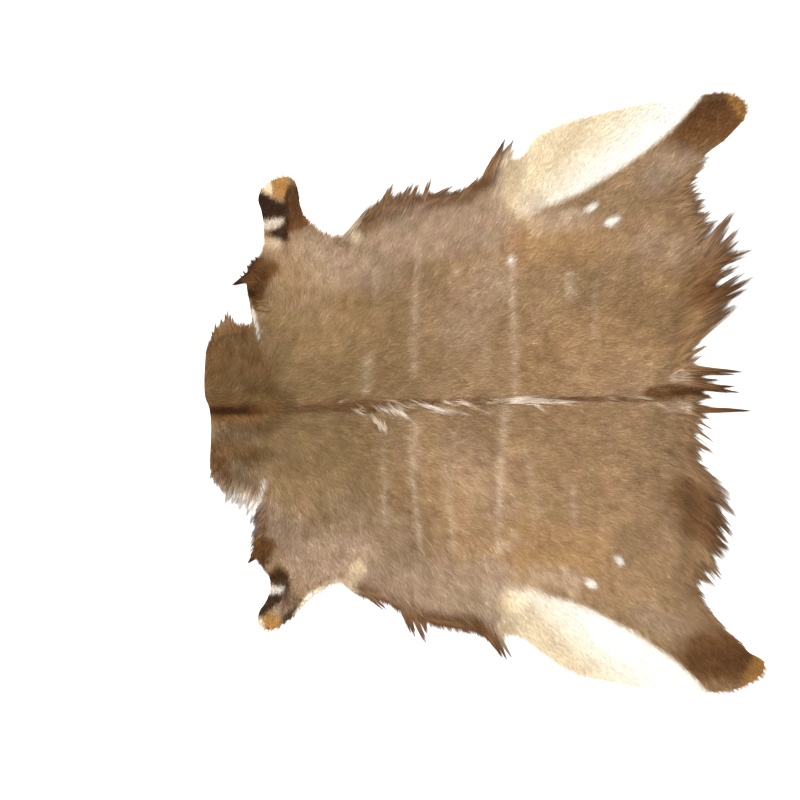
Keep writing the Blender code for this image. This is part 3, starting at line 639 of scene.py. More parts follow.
# Markings that fill an area, by its corners
AREAS = (
    # layer, side, softness, strength, corners as behind and out
    ("olive", RIGHT, 30, 0.9, (
        (-50, -20), (-50, 160), (20, 190), (110, 200), (122, 180), (132, 140), (146, 90), (170, 50),
        (200, 22), (220, 0), (160, -20),
    )),
    ("olive", LEFT, 40, 0.82, (
        (-50, 0), (-50, 200), (60, 225), (112, 235), (130, 190), (142, 140), (160, 90), (180, 30), (200, 0),
    )),
    ("brown", LEFT, 30, 0.36, ((-20, 90), (-20, 140), (110, 130), (115, 95))),
    ("brown", LEFT, 14, 0.75, ((0, 145), (22, 162), (60, 186), (75, 172), (30, 150))),
    ("brown", RIGHT, 16, 1.0, (
        (123, 360), (149, 342), (169, 340), (185, 326), (181, 310), (165, 298), (153, 278), (143, 251),
        (137, 225), (127, 221), (117, 235), (107, 262), (80, 270), (60, 300), (85, 330),
    )),
    ("brown", LEFT, 16, 1.0, (
        (135, 313), (166, 318), (178, 337), (154, 368), (135, 395), (95, 390), (112, 330),
    )),
    ("orange", RIGHT, 7, 0.9, (
        (165, 521), (170, 560), (200, 560), (202, 527), (198, 508), (189, 488), (173, 488), (165, 502),
    )),
    ("cream", RIGHT, 5, 0.85, ((140, 507), (146, 524), (161, 526), (164, 498), (151, 501))),
    ("black", RIGHT, 5, 0.95, (
        (120, 500), (142, 503), (159, 489), (185, 478), (195, 476), (195, 444), (185, 441), (143, 436),
        (120, 440),
    )),
    ("brown", RIGHT, 10, 1.0, (
        (195, 508), (206, 520), (240, 520), (240, 450), (256, 425), (238, 416), (206, 403), (200, 389),
        (192, 389), (196, 428),
    )),
    ("black", RIGHT, 6, 0.8, ((193, 505), (203, 515), (205, 430), (200, 388), (190, 388))),
    ("white", RIGHT, 4, 0.38, (
        (130, 430), (165, 438), (192, 440), (194, 430), (179, 421), (165, 413), (130, 412),
    )),
    ("black", RIGHT, 7, 0.9, ((160, 410), (196, 430), (206, 386), (185, 384), (166, 396))),
    ("brown", RIGHT, 8, 0.85, ((130, 412), (172, 412), (176, 392), (130, 390))),
    ("brown", LEFT, 9, 0.9, ((145, 402), (180, 380), (204, 398), (206, 420), (150, 420))),
    ("black", LEFT, 5, 0.78, (
        (150, 412), (180, 391), (202, 406), (206, 429), (199, 443), (191, 441), (190, 432), (164, 430),
    )),
    ("white", LEFT, 4, 0.6, (
        (140, 430), (164, 431), (190, 433), (192, 440), (183, 449), (157, 451), (135, 450),
    )),
    ("black", LEFT, 5, 0.9, (
        (150, 451), (183, 450), (189, 465), (166, 482), (140, 506), (115, 514), (120, 490),
    )),
    ("orange", LEFT, 6, 0.85, ((138, 515), (157, 496), (178, 503), (183, 522), (170, 560), (140, 560))),
    ("cream", LEFT, 6, 0.85, ((120, 505), (138, 508), (148, 530), (130, 550), (110, 530))),
    ("grey", LEFT, 12, 1.0, ((190, 440), (225, 440), (228, 480), (185, 505), (165, 490))),
    ("black", LEFT, 7, 0.8, ((183, 522), (187, 505), (206, 489), (223, 480), (245, 488), (215, 530))),
)

# The white insides of the thighs: cream in front and at the outer edge, white behind
THIGHS = (
    # side, corners as behind and out
    (RIGHT, (
        (722, 600), (710, 545), (708, 493), (720, 464), (744, 447), (775, 448), (811, 466), (894, 501),
        (971, 547), (1042.5, 596), (1090, 633), (1135, 676), (1180, 730), (1220, 790), (810, 790),
        (742, 600),
    )),
    (LEFT, (
        (718, 570), (705, 530), (704, 480), (708, 450), (722, 437), (776, 440), (823, 457), (870.5, 469),
        (918, 488), (965.4, 514.5), (1012.9, 538), (1065.1, 574), (1110, 604), (1150, 640), (1200, 690),
        (1240, 740), (860, 740), (760, 610),
    )),
)
# Painted shade on the thighs' cream: strokes where the cream is darkened and warmed with gold, as the hair's
# shading falls there
THIGH_PAINTED_SHADES = (
    # side, behind and out of the start, behind and out of the end, half width, softness, strength
    (RIGHT, 735, 458, 790, 474, 6, 36, 0.36),
    (RIGHT, 728, 490, 742, 590, 6, 30, 0.36),
    (RIGHT, 840, 560, 900, 680, 2, 30, 0.14),
    (LEFT, 712, 470, 730, 560, 4, 30, 0.3),
    (LEFT, 770, 480, 860, 590, 3, 26, 0.18),
)
THIGH_SOFTNESS = (0.036, 0.020)  # in front, behind
THIGH_FRONT = 0.80
THIGH_FRONT_WIDTH = 0.10
WHITE_BEHIND = 0.340  # white where a spot is so much farther behind than out
CREAM_FADE = 0.20
SHADE_GOLD = 3.0  # how fast gold comes up where cream is shaded

# Layers of the four marking attributes, by colour channel
MARK_CHANNELS = {
    "dark_marks": ("brown", "black", "olive"),
    "light_marks": ("pale", "white", "cream"),
    "warm_marks": ("gold", "orange", "grey"),
    # dim and bright are painted shade and painted light, in places the coat's own tone; dun is a coat colour
    "tone_marks": ("dim", "bright", "dun"),
}

# Colours of the hair, as linear values
COAT = {
    "sand": (0.415, 0.270, 0.147),
    "taupe": (0.325, 0.207, 0.110),
    "grey": (0.430, 0.302, 0.205),
    "dun": (0.305, 0.196, 0.088),
    "gold": (0.440, 0.268, 0.128),
    "olive": (0.138, 0.074, 0.026),
    "pale": (0.740, 0.590, 0.440),
    "brown": (0.172, 0.077, 0.027),
    "black": (0.020, 0.006, 0.003),
    "orange": (0.440, 0.225, 0.060),
    "cream": (0.850, 0.715, 0.500),
    "white": (0.970, 0.930, 0.870),
}

# What the coat's colour is multiplied by. Dim and bright are painted shade and painted light, and in places
# the coat's own tone.
TINGES = {
    "dim": (0.66, 0.66, 0.64),
    "bright": (1.22, 1.20, 1.18),
    "rosy": (1.025, 0.975, 1.03),
    "olive": (0.995, 1.025, 0.95),
}

# The materials of the hair
HAIR_LOOKS = {
    # material: brightness, roughness
    "lying_coat": (1.0, 0.62),
    "long_hair": (0.87, 0.55),
    "crest_hair": (1.0, 0.50),
}
TONE_POWERS = (1.0, 1.12, 1.40)  # light hairs are greyer than dark ones
ROUGHNESS_RANGE = (-0.08, 0.10)  # from hair to hair
HAIR_SHINE = 0.06
UNDERFUR_SHINE = 0.1

# Mottling over the skin. Noises: scale, detail, roughness.
BROAD_PATCHES = (7.0, 3.0)
HUE_PATCHES = (22.0, 3.0, 0.6)
OLIVE_STREAKS = (38.0, 3.0)
PATCHES = (46.0, 3.0, 0.6)
STRIPE_BREAKS = (60.0, 2.0)
CLUMPS = (135.0, 2.0, 0.6)
BANDS_STRETCH = (52.0, 13.0, 13.0)
LIGHT_HAIR_SPREAD = 0.12  # how much of the mottling is left in white and cream hair

# Flesh side, as linear colours
SUEDE = ((0.620, 0.520, 0.400), (0.740, 0.660, 0.550))
FAT_STAIN = (0.480, 0.330, 0.180)
VEIN = (0.330, 0.250, 0.200)
VEIN_WIDTH = 0.018


def plan(behind, out, side):
    """The place in the frame of a spot that is given in millimetres from the neck's edge and the spine."""
    return np.array((NECK_X + behind / MM, SPINE_Y + side * out / MM))


def smooth(value):
    value = np.clip(value, 0.0, 1.0)
    return value * value * (3.0 - 2.0 * value)


def nearest_on_run(spots, start, end):
    """The nearest place to each spot on the straight run between two places, and how far it is."""
    run = end - start
    share = np.clip((spots - start) @ run / max(run @ run, 1e-12), 0.0, 1.0)
    near = start + share[:, None] * run
    return near, np.linalg.norm(spots - near, axis=1)


def stroke_distance(spots, side, behind_1, out_1, behind_2, out_2):
    """How far each spot lies from the stroke between two places."""
    return nearest_on_run(spots, plan(behind_1, out_1, side), plan(behind_2, out_2, side))[1]


def stroke_cover(spots, side, *stroke):
    """How strongly a soft stroke covers each spot."""
    *ends, half_width, softness, strength = stroke
    half_width, softness = half_width / MM, softness / MM
    return strength * smooth((half_width + softness - stroke_distance(spots, side, *ends)) / softness)


def loop_distance(spots, loop):
    """How far each spot lies inside a closed loop, below zero outside it, and the loop's nearest point."""
    nearest = np.full(len(spots), np.inf)
    foot = np.zeros_like(spots)
    inside = np.zeros(len(spots), bool)
    for start, end in zip(loop, np.roll(loop, -1, axis=0)):
        near, away = nearest_on_run(spots, start, end)
        closer = away < nearest
        nearest[closer] = away[closer]
        foot[closer] = near[closer]
        rise = end[1] - start[1]
        if rise != 0.0:
            crosses = (start[1] > spots[:, 1]) != (end[1] > spots[:, 1])
            at = start[0] + (spots[:, 1] - start[1]) * (end[0] - start[0]) / rise
            inside ^= crosses & (spots[:, 0] < at)
    return np.where(inside, nearest, -nearest), foot


def value_noise(spots, size, seed):
    """Smooth noise from -1 to 1 over the plan."""
    table = np.random.default_rng(seed).uniform(-1.0, 1.0, (NOISE_CELLS, NOISE_CELLS))
    grid = spots / size + NOISE_SHIFT
    cell = np.floor(grid).astype(int)
    part = smooth(grid - cell)
    x0, y0 = cell.T % NOISE_CELLS
    x1, y1 = (x0 + 1) % NOISE_CELLS, (y0 + 1) % NOISE_CELLS
    low = table[x0, y0] * (1 - part[:, 0]) + table[x1, y0] * part[:, 0]
    high = table[x0, y1] * (1 - part[:, 0]) + table[x1, y1] * part[:, 0]
    return low * (1 - part[:, 1]) + high * part[:, 1]


def new_object(name, data):
    thing = bpy.data.objects.new(name, data)
    bpy.context.scene.collection.objects.link(thing)
    return thing


def plain_mesh(thing, name):
    """The object's evaluated mesh as a new object at the origin; the old object goes."""
    bpy.context.view_layer.update()
    depsgraph = bpy.context.evaluated_depsgraph_get()
    mesh = bpy.data.meshes.new_from_object(thing.evaluated_get(depsgraph))
    mesh.name = name
    bpy.data.objects.remove(thing, do_unlink=True)
    return new_object(name, mesh)


def search_tree(mesh):
    work = bmesh.new()
    work.from_mesh(mesh)
    tree = BVHTree.FromBMesh(work)
    work.free()
    return tree


def struck_from_above(tree, x, y):
    return tree.ray_cast(Vector((x, y, OVERHEAD)), DOWN)[0]


def mesh_points(mesh):
    places = np.zeros(len(mesh.vertices) * 3, np.float32)
    mesh.vertices.foreach_get("co", places)
    return places.reshape(-1, 3).astype(float)


def set_mesh_points(mesh, places):
    mesh.vertices.foreach_set("co", places.astype(np.float32).ravel())
    mesh.update()


def add_attribute(mesh, name, kind, values):
    attribute = mesh.attributes.new(name, kind, "POINT")
    field = {"FLOAT": "value", "FLOAT_VECTOR": "vector", "FLOAT_COLOR": "color"}[kind]
    attribute.data.foreach_set(field, np.ascontiguousarray(values, np.float32).ravel())


def read_attribute(mesh, name, width, field):
    attribute = mesh.attributes[name]
    values = np.zeros(len(attribute.data) * width, np.float32)
    attribute.data.foreach_get(field, values)
    return values.reshape(-1, width) if width > 1 else values


def skin_loop():
    """The leather's outline as points in order, from a smooth curve through the landmarks."""
    curve = bpy.data.curves.new("skin_outline", "CURVE")
    curve.dimensions = "2D"
    curve.fill_mode = "NONE"
    curve.resolution_u = OUTLINE_STEPS
    rows = [(row, RIGHT) for row in RIGHT_SIDE] + [(row, LEFT) for row in reversed(LEFT_SIDE)]
    spline = curve.splines.new("BEZIER")
    spline.bezier_points.add(len(rows) - 1)
    spline.use_cyclic_u = True
    for point, ((_, behind, out, kind), side) in zip(spline.bezier_points, rows):
        point.co = (*plan(behind, out, side), 0.0)
        point.handle_left_type = point.handle_right_type = "VECTOR" if kind == "corner" else "AUTO"
    outline = plain_mesh(new_object("skin_outline", curve), "skin_outline")
    loop = np.array([vert.co.xy for vert in outline.data.vertices])
    bpy.data.objects.remove(outline, do_unlink=True)
    return loop


def leather_height(spots, inside):
    """The leather's top under the coat: on the solid's folds, with the main creases a little sharper."""
    tree = search_tree(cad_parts["skin"].data)
    hits = [struck_from_above(tree, x, y) for x, y in spots]
    solid = np.array([hit.z if hit else 0.0 for hit in hits])
    folds = np.zeros(len(spots))
    for _, side, *ends, half_width, rise in FOLDS:
        away = stroke_distance(spots, side, *ends) / (half_width / MM)
        folds += rise / MM * np.exp(-(away ** 2))
    lowest = LEATHER_THICKNESS + GROUND_LIFT
    top = solid - PILE + CREASE_SHARE * folds
    return lowest + smooth(inside / RIM_SLOPE) * np.maximum(top - lowest, 0.0)


def leather_ground(loop):
    """The fur side of the leather as an open mesh of small cells cut to the outline."""
    low = loop.min(axis=0) - LEATHER_CELL
    columns, rows = (np.ceil((loop.max(axis=0) + LEATHER_CELL - low) / LEATHER_CELL)).astype(int) + 1
    xs, ys = np.meshgrid(np.arange(columns), np.arange(rows), indexing="ij")
    nodes = low + LEATHER_CELL * np.stack((xs.ravel(), ys.ravel()), axis=1)
    first = (xs[:-1, :-1] * rows + ys[:-1, :-1]).ravel()
    cells = np.stack((first, first + rows, first + rows + 1, first + 1), axis=1)
    cells = cells[loop_distance(nodes[cells].mean(axis=1), loop)[0] > LEATHER_INSET]
    used, faces = np.unique(cells, return_inverse=True)
    faces = faces.reshape(-1, 4)
    spots = nodes[used]
    inside, foot = loop_distance(spots, loop)
    rim = np.bincount(faces.ravel(), minlength=len(spots)) < 4
    outward = (foot - spots) / np.maximum(np.abs(inside), 1e-9)[:, None]
    spots[rim] = foot[rim] - (outward * LEATHER_INSET * np.sign(inside)[:, None])[rim]
    tops = leather_height(spots, np.where(rim, LEATHER_INSET, inside))
    mesh = bpy.data.meshes.new("leather_ground")
    mesh.from_pydata(np.column_stack((spots, tops)).tolist(), [], faces.tolist())
    mesh.shade_smooth()
    return mesh


def lie_of_coat(spots):
    """The aim and the length of the hair at each spot, from the table of the coat's lie."""
    out = spots[:, 1] - SPINE_Y
    folded = np.column_stack((spots[:, 0] - NECK_X, np.abs(out)))
    heading = np.zeros((len(spots), 2))
    total, length = np.zeros(len(spots)), np.zeros(len(spots))
    for _, behind, outwards, aim, hair in LIE:
        away = np.linalg.norm(folded - (behind / MM, outwards / MM), axis=1)
        weight = 1.0 / (away + LIE_SMOOTHING) ** 4
        total += weight
        length += weight * (hair / MM)
        heading += weight[:, None] * (math.cos(math.radians(aim)), math.sin(math.radians(aim)))
    heading[:, 1] *= np.where(out >= 0, 1.0, -1.0)
    aim = np.arctan2(heading[:, 1], heading[:, 0]) + SWIRL * value_noise(spots, SWIRL_SIZE, SEED)
    return aim, length / total


def no_markings(spots):
    return {name: np.zeros(len(spots)) for names in MARK_CHANNELS.values() for name in names}


def marking_layers(spots):
    """How strongly each marking layer covers each spot, painted shade and light among them."""
    layers = no_markings(spots)
    for layer, side, strokes in MARKS:
        for stroke in strokes:
            layers[layer] = np.maximum(layers[layer], stroke_cover(spots, side, *stroke))
    for layer, side, softness, strength, corners in AREAS:
        loop, softness = np.array([plan(*corner, side) for corner in corners]), softness / MM
        around = (spots > loop.min(axis=0) - softness) & (spots < loop.max(axis=0) + softness)
        near = np.flatnonzero(np.all(around, axis=1))
        if len(near):
            cover = strength * smooth(loop_distance(spots[near], loop)[0] / softness + 0.5)
            layers[layer][near] = np.maximum(layers[layer][near], cover)
    behind = spots[:, 0] - NECK_X
    out = np.abs(spots[:, 1] - SPINE_Y)
    front = smooth((THIGH_FRONT - behind) / THIGH_FRONT_WIDTH + 0.5)
    softness = THIGH_SOFTNESS[1] + (THIGH_SOFTNESS[0] - THIGH_SOFTNESS[1]) * front
    whiter = smooth((behind - out - WHITE_BEHIND) / CREAM_FADE + 0.5)
    # painted shade on the cream of the thighs, with gold under it
    shade = np.max([stroke_cover(spots, *row) for row in THIGH_PAINTED_SHADES], axis=0)
    for side, corners in THIGHS:
        loop = np.array([plan(*corner, side) for corner in corners])
        cover = smooth(loop_distance(spots, loop)[0] / softness + 0.5)
        for name in layers:
            layers[name] *= 1.0 - cover
        layers["cream"] = np.maximum(layers["cream"], cover * (1.0 - shade))
        layers["gold"] = np.maximum(layers["gold"], cover * smooth(SHADE_GOLD * shade))
        layers["white"] = np.maximum(layers["white"], cover * whiter)
    return layers


def paint_marks(mesh, layers):
    """Stores the marking layers as colour attributes."""
    for attribute, names in MARK_CHANNELS.items():
        channels = [layers[name] for name in names]
        add_attribute(mesh, attribute, "FLOAT_COLOR", np.column_stack((*channels, np.ones(len(channels[0])))))


def hair_shape(name, rings, sway):
    """A tapering three-sided hair along +X, one unit long, with flat underside."""
    rows = []
    for share, half_width, rise in rings:
        for turn, up in RING_CORNERS:
            aside = sway * share * share + turn * half_width
            rows.append((share, aside, rise + up * half_width, share, turn))
    rows.append((1.0, sway, rings[-1][2] * TIP_RISE, 1.0, 0.0))
    faces = [(0, 1, 2)]
    for base in range(0, 3 * len(rings) - 3, 3):
        for corner, following in RING_EDGES:
            faces.append((base + corner, base + 3 + corner, base + 3 + following, base + following))
    last, tip = 3 * len(rings) - 3, 3 * len(rings)
    for corner, following in RING_EDGES:
        faces.append((last + corner, tip, last + following))
    mesh = bpy.data.meshes.new(name)
    mesh.from_pydata([row[:3] for row in rows], [], faces)
    add_attribute(mesh, "along", "FLOAT", [row[3] for row in rows])
    add_attribute(mesh, "across", "FLOAT", [row[4] for row in rows])
    work = bmesh.new()
    work.from_mesh(mesh)
    bmesh.ops.recalc_face_normals(work, faces=work.faces)
    work.to_mesh(mesh)
    work.free()
    mesh.shade_smooth()
    return mesh


def hair_shapes(name, rings, sways):
    """A collection of hair shapes that only Geometry Nodes read."""
    group = bpy.data.collections.new(name)
    for number, sway in enumerate(sways):
        mesh = hair_shape(f"{name}_{number}", rings, sway)
        group.objects.link(bpy.data.objects.new(mesh.name, mesh))
    return group


def socket(sockets, name):
    """The shown socket of that name; some nodes hold a hidden one for each type of value."""
    return next(item for item in sockets if item.name == name and item.enabled)


class Tree:
    """A node tree that is written as a chain of calls."""

    def __init__(self, tree):
        self.tree = tree

    def add(self, kind, settings=None, **inputs):
        node = self.tree.nodes.new(kind)
        for name, value in (settings or {}).items():
            setattr(node, name, value)
        for name, value in inputs.items():
            self.feed(socket(node.inputs, name.replace("_", " ")), value)
        return node

    def feed(self, target, value):
        if isinstance(value, bpy.types.NodeSocket):
            self.tree.links.new(value, target)
        elif value is not None:
            target.default_value = value

    def calc(self, operation, *values, kind="ShaderNodeMath"):
        node = self.add(kind, {"operation": operation})
        for target, value in zip(node.inputs, values):
            self.feed(target, value)
        return node.outputs[0]

    def vector(self, operation, *values):
        return self.calc(operation, *values, kind="ShaderNodeVectorMath")

    def mix(self, share, first, second, blend="MIX"):
        settings = {"data_type": "RGBA", "blend_type": blend, "clamp_factor": True}
        return socket(self.add("ShaderNodeMix", settings, Factor=share, A=first, B=second).outputs, "Result")

    def remap(self, value, low, high, to_low=0.0, to_high=1.0):
        node = self.add(
            "ShaderNodeMapRange", {"clamp": True},
            Value=value, From_Min=low, From_Max=high, To_Min=to_low, To_Max=to_high,
        )
        return node.outputs[0]

    def noise(self, place, scale, detail=2.0, roughness=0.5, output="Fac"):
        node = self.add("ShaderNodeTexNoise", Vector=place, Scale=scale, Detail=detail, Roughness=roughness)
        return node.outputs[output]

    def attribute(self, name, output="Fac"):
        settings = {"attribute_name": name, "attribute_type": "GEOMETRY"}
        return self.add("ShaderNodeAttribute", settings).outputs[output]


def node_group(name, kind, inputs, outputs):
    """A node group with named inputs and outputs, as a tree, with the sockets inside it."""
    group = bpy.data.node_groups.new(name, kind)
    for label, value_kind, default in inputs:
        made = group.interface.new_socket(name=label, in_out="INPUT", socket_type="NodeSocket" + value_kind)
        if default is not None:
            made.default_value = default
    for label, value_kind in outputs:
        group.interface.new_socket(name=label, in_out="OUTPUT", socket_type="NodeSocket" + value_kind)
    tree = Tree(group)
    return tree, tree.add("NodeGroupInput").outputs, tree.add("NodeGroupOutput").inputs


def hair_tree():
    """Plants hairs on a surface or on points, along the attribute flow and as long as the attribute hair."""
    tree, given, result = node_group(
        "plant_hair", "GeometryNodeTree",
        (
            ("Geometry", "Geometry", None),
            ("Scatter", "Bool", True),
            ("Hairs per Square Metre", "Float", 1000.0),
            ("Shapes", "Collection", None),
            ("Half Width", "Float", 0.001),
            ("Lift", "Float", 0.1),
            ("Lift Spread", "Float", 0.05),
            ("Stray", "Float", 0.1),
            ("Length Spread", "Float", 0.2),
            ("Seed", "Int", 1),
            ("Material", "Material", None),
        ),
        (("Geometry", "Geometry"),),
    )

    def random(low, high, seed):
        seeded = tree.calc("ADD", given["Seed"], seed)
        node = tree.add("FunctionNodeRandomValue", {"data_type": "FLOAT"}, Min=low, Max=high, Seed=seeded)
        return socket(node.outputs, "Value")

    def spread(name, seed):
        """A random value from minus the input of that name to the input."""
        return random(tree.calc("MULTIPLY", given[name], -1.0), given[name], seed)

    def named(name, kind="FLOAT"):
        node = tree.add("GeometryNodeInputNamedAttribute", {"data_type": kind}, Name=name)
        return socket(node.outputs, "Attribute")

    def store(points, name, value, kind="FLOAT"):
        settings = {"data_type": kind, "domain": "POINT"}
        node = tree.add("GeometryNodeStoreNamedAttribute", settings, Geometry=points, Name=name, Value=value)
        return node.outputs[0]

    scattered = tree.add(
        "GeometryNodeDistributePointsOnFaces", {"distribute_method": "RANDOM"},
        Mesh=given["Geometry"], Density=given["Hairs per Square Metre"], Seed=given["Seed"],
    )
    choice = tree.add("GeometryNodeSwitch", {"input_type": "GEOMETRY"}, Switch=given["Scatter"])
    tree.feed(socket(choice.inputs, "False"), given["Geometry"])
    tree.feed(socket(choice.inputs, "True"), scattered.outputs["Points"])
    turned = tree.add(
        "ShaderNodeVectorRotate", {"rotation_type": "Z_AXIS"},
        Vector=named("flow", "FLOAT_VECTOR"), Angle=spread("Stray", 1),
    )
    place = tree.add("GeometryNodeInputPosition").outputs[0]
    points = store(socket(choice.outputs, "Output"), "root", place, "FLOAT_VECTOR")
    points = store(points, "heading", turned.outputs[0], "FLOAT_VECTOR")
    points = store(points, "tone", random(0.0, 1.0, 2))
    climb = tree.calc("TANGENT", tree.calc("ADD", given["Lift"], spread("Lift Spread", 3)))
    upward = tree.add("ShaderNodeCombineXYZ", Z=climb).outputs[0]
    turn = tree.add(
        "FunctionNodeAxesToRotation", {"primary_axis": "X", "secondary_axis": "Z"},
        Primary_Axis=tree.vector("ADD", named("heading", "FLOAT_VECTOR"), upward), Secondary_Axis=UP,
    )
    length = tree.calc("MULTIPLY", named("hair"), tree.calc("ADD", spread("Length Spread", 4), 1.0))
    width = tree.calc("MULTIPLY", given["Half Width"], random(*WIDTH_RANGE, 5))
    shapes = tree.add(
        "GeometryNodeCollectionInfo", Collection=given["Shapes"], Separate_Children=True, Reset_Children=True,
    )
    last = len(STRAND_SWAYS) - 1
    pick = tree.add("FunctionNodeRandomValue", {"data_type": "INT"}, Min=0, Max=last, Seed=given["Seed"])
    planted = tree.add(
        "GeometryNodeInstanceOnPoints", Points=points, Instance=shapes.outputs[0], Pick_Instance=True,
        Instance_Index=socket(pick.outputs, "Value"), Rotation=turn.outputs[0],
        Scale=tree.add("ShaderNodeCombineXYZ", X=length, Y=width, Z=width).outputs[0],
    )
    real = tree.add("GeometryNodeRealizeInstances", Geometry=planted.outputs[0])
    finished = tree.add("GeometryNodeSetMaterial", Geometry=real.outputs[0], Material=given["Material"])
    tree.feed(result["Geometry"], finished.outputs[0])
    return tree.tree


def guide_hair(mesh, aims, lengths, streaks):
    """Stores where the hairs that grow from a mesh point, how long they are and how far they are streaked."""
    flow = np.column_stack((np.cos(aims), np.sin(aims), np.zeros(len(aims))))
    add_attribute(mesh, "flow", "FLOAT_VECTOR", flow)
    add_attribute(mesh, "hair", "FLOAT", lengths)
    add_attribute(mesh, "streak", "FLOAT", streaks)


def plant(mesh, tree, **values):
    """Runs the hair tree on a mesh and returns the hairs as a plain mesh object of the same name."""
    name = mesh.name
    thing = new_object(name, mesh)
    modifier = thing.modifiers.new("plant_hair", "NODES")
    modifier.node_group = tree
    for item in tree.interface.items_tree:
        wanted = item.name.lower().replace(" ", "_")
        if item.in_out == "INPUT" and wanted in values:
            modifier[item.identifier] = values[wanted]
    return plain_mesh(thing, name)


def finish_hair(piece, rng, layers_of, colour_at, colour_spread):
    """Marks the hairs by the spot that share along them, from root to tip, and keeps them above the floor."""
    mesh = piece.data
    roots = read_attribute(mesh, "root", 3, "vector")[:, :2].astype(float)
    heading = read_attribute(mesh, "heading", 3, "vector")[:, :2].astype(float)
    along = read_attribute(mesh, "along", 1, "value")
    lengths = read_attribute(mesh, "hair", 1, "value").astype(float)
    share = colour_at + colour_spread * (along - 0.5)
    marked = roots + heading * (share * lengths)[:, None]
    starts, first, which = np.unique(marked, axis=0, return_index=True, return_inverse=True)
    strayed = starts + rng.normal(0.0, FEATHER, starts.shape)
    covers = layers_of(strayed, read_attribute(mesh, "streak", 1, "value")[first], along[first])
    paint_marks(mesh, {name: cover[which.ravel()] for name, cover in covers.items()})
    places = mesh_points(mesh)
    places[:, 2] = np.maximum(places[:, 2], GROUND_LIFT)
    set_mesh_points(mesh, places)
    add_bake_map(mesh, roots, heading, along, read_attribute(mesh, "across", 1, "value"))
    mesh.shade_smooth()
    mesh.update()
    return piece


def add_bake_map(mesh, roots, heading, along, across):
    """A map where each hair is a small flat patch at its root's place on the plan."""
    sideways = np.column_stack((-heading[:, 1], heading[:, 0]))
    taper = 1.0 - PATCH_TAPER * along
    places = roots + heading * (along * PATCH_LENGTH)[:, None]
    places += sideways * (across * taper * PATCH_HALF_WIDTH)[:, None]
    low = roots.min(axis=0) - MAP_MARGIN
    places = (places - low) / (roots.max(axis=0) + MAP_MARGIN - low).max()
    corners = np.zeros(len(mesh.loops), np.int32)
    mesh.loops.foreach_get("vertex_index", corners)
    layer = mesh.uv_layers.new(name="OFBake")
    layer.data.foreach_set("uv", places[corners].astype(np.float32).ravel())


def band_mesh(ground, name, behind_1, behind_2):
    """The stretch of the leather's fur side between two distances behind the neck's edge, and its area."""
    work = bmesh.new()
    work.from_mesh(ground)
    low, high = NECK_X + behind_1 / MM, NECK_X + behind_2 / MM
    away = [face for face in work.faces if not low <= face.calc_center_median().x < high]
    bmesh.ops.delete(work, geom=away, context="FACES")
    mesh = bpy.data.meshes.new(name)
    work.to_mesh(mesh)
    area = sum(face.calc_area() for face in work.faces)
    work.free()
    return mesh, area


def lying_coat(ground, tree, material, rng):
    pieces = []
    shapes = hair_shapes("wisp", WISP_RINGS, (0.0,))
    for number, band in enumerate(COAT_BANDS):
        mesh, area = band_mesh(ground, *band)
        aims, lengths = lie_of_coat(mesh_points(mesh)[:, :2])
        guide_hair(mesh, aims, lengths, np.zeros(len(lengths)))
        piece = plant(
            mesh, tree, scatter=True, hairs_per_square_metre=HAIR_SHARE * WISPS_PER_BAND / area,
            shapes=shapes, half_width=WISP_WIDTH / math.sqrt(HAIR_SHARE), lift=WISP_LIFT,
            lift_spread=WISP_LIFT_SPREAD, stray=WISP_STRAY, length_spread=WISP_LENGTH_SPREAD,
            seed=SEED + number, material=material,
        )
        pieces.append(finish_hair(piece, rng, coat_layers, *WISP_COLOUR))
    return pieces


def coat_layers(spots, streaks, along):
    return marking_layers(spots)


def point_mesh(name, height, spots, rises, aims, lengths, streaks):
    """Points that each grow one hair, so high over the leather."""
    mesh = bpy.data.meshes.new(name)
    mesh.from_pydata(np.column_stack((spots, height(spots) + rises)).tolist(), [], [])
    guide_hair(mesh, aims, lengths, streaks)
    return mesh


def ground_height(ground):
    """Functions that give the leather's top at spots, also just outside it, and say where leather is."""
    tree = search_tree(ground)

    def height(spots):
        return np.array([tree.find_nearest(Vector((x, y, CLOSE_OVER)))[0].z for x, y in spots])

    def over_leather(spots):
        return np.array([struck_from_above(tree, x, y) is not None for x, y in spots])

    return height, over_leather


def lock_line(tip, heading, turn, distance):
    """Places and headings on a lock's middle line, at distances behind its tip. Turn: radians a metre."""
    turn = turn if abs(turn) > STRAIGHT else STRAIGHT
    back = heading + turn * distance
    east = (np.sin(back) - math.sin(heading)) / turn
    north = (math.cos(heading) - np.cos(back)) / turn
    return tip - np.column_stack((east, north)), back


def rim_distance(tip, heading, turn, over_leather):
    """How far behind a lock's tip its middle line comes onto the leather."""
    distances = np.arange(0.0, FARTHEST_TIP, RIM_STEP)
    hits = np.flatnonzero(over_leather(lock_line(tip, heading, turn, distances)[0]))
    return distances[hits[0]] if len(hits) else FARTHEST_TIP


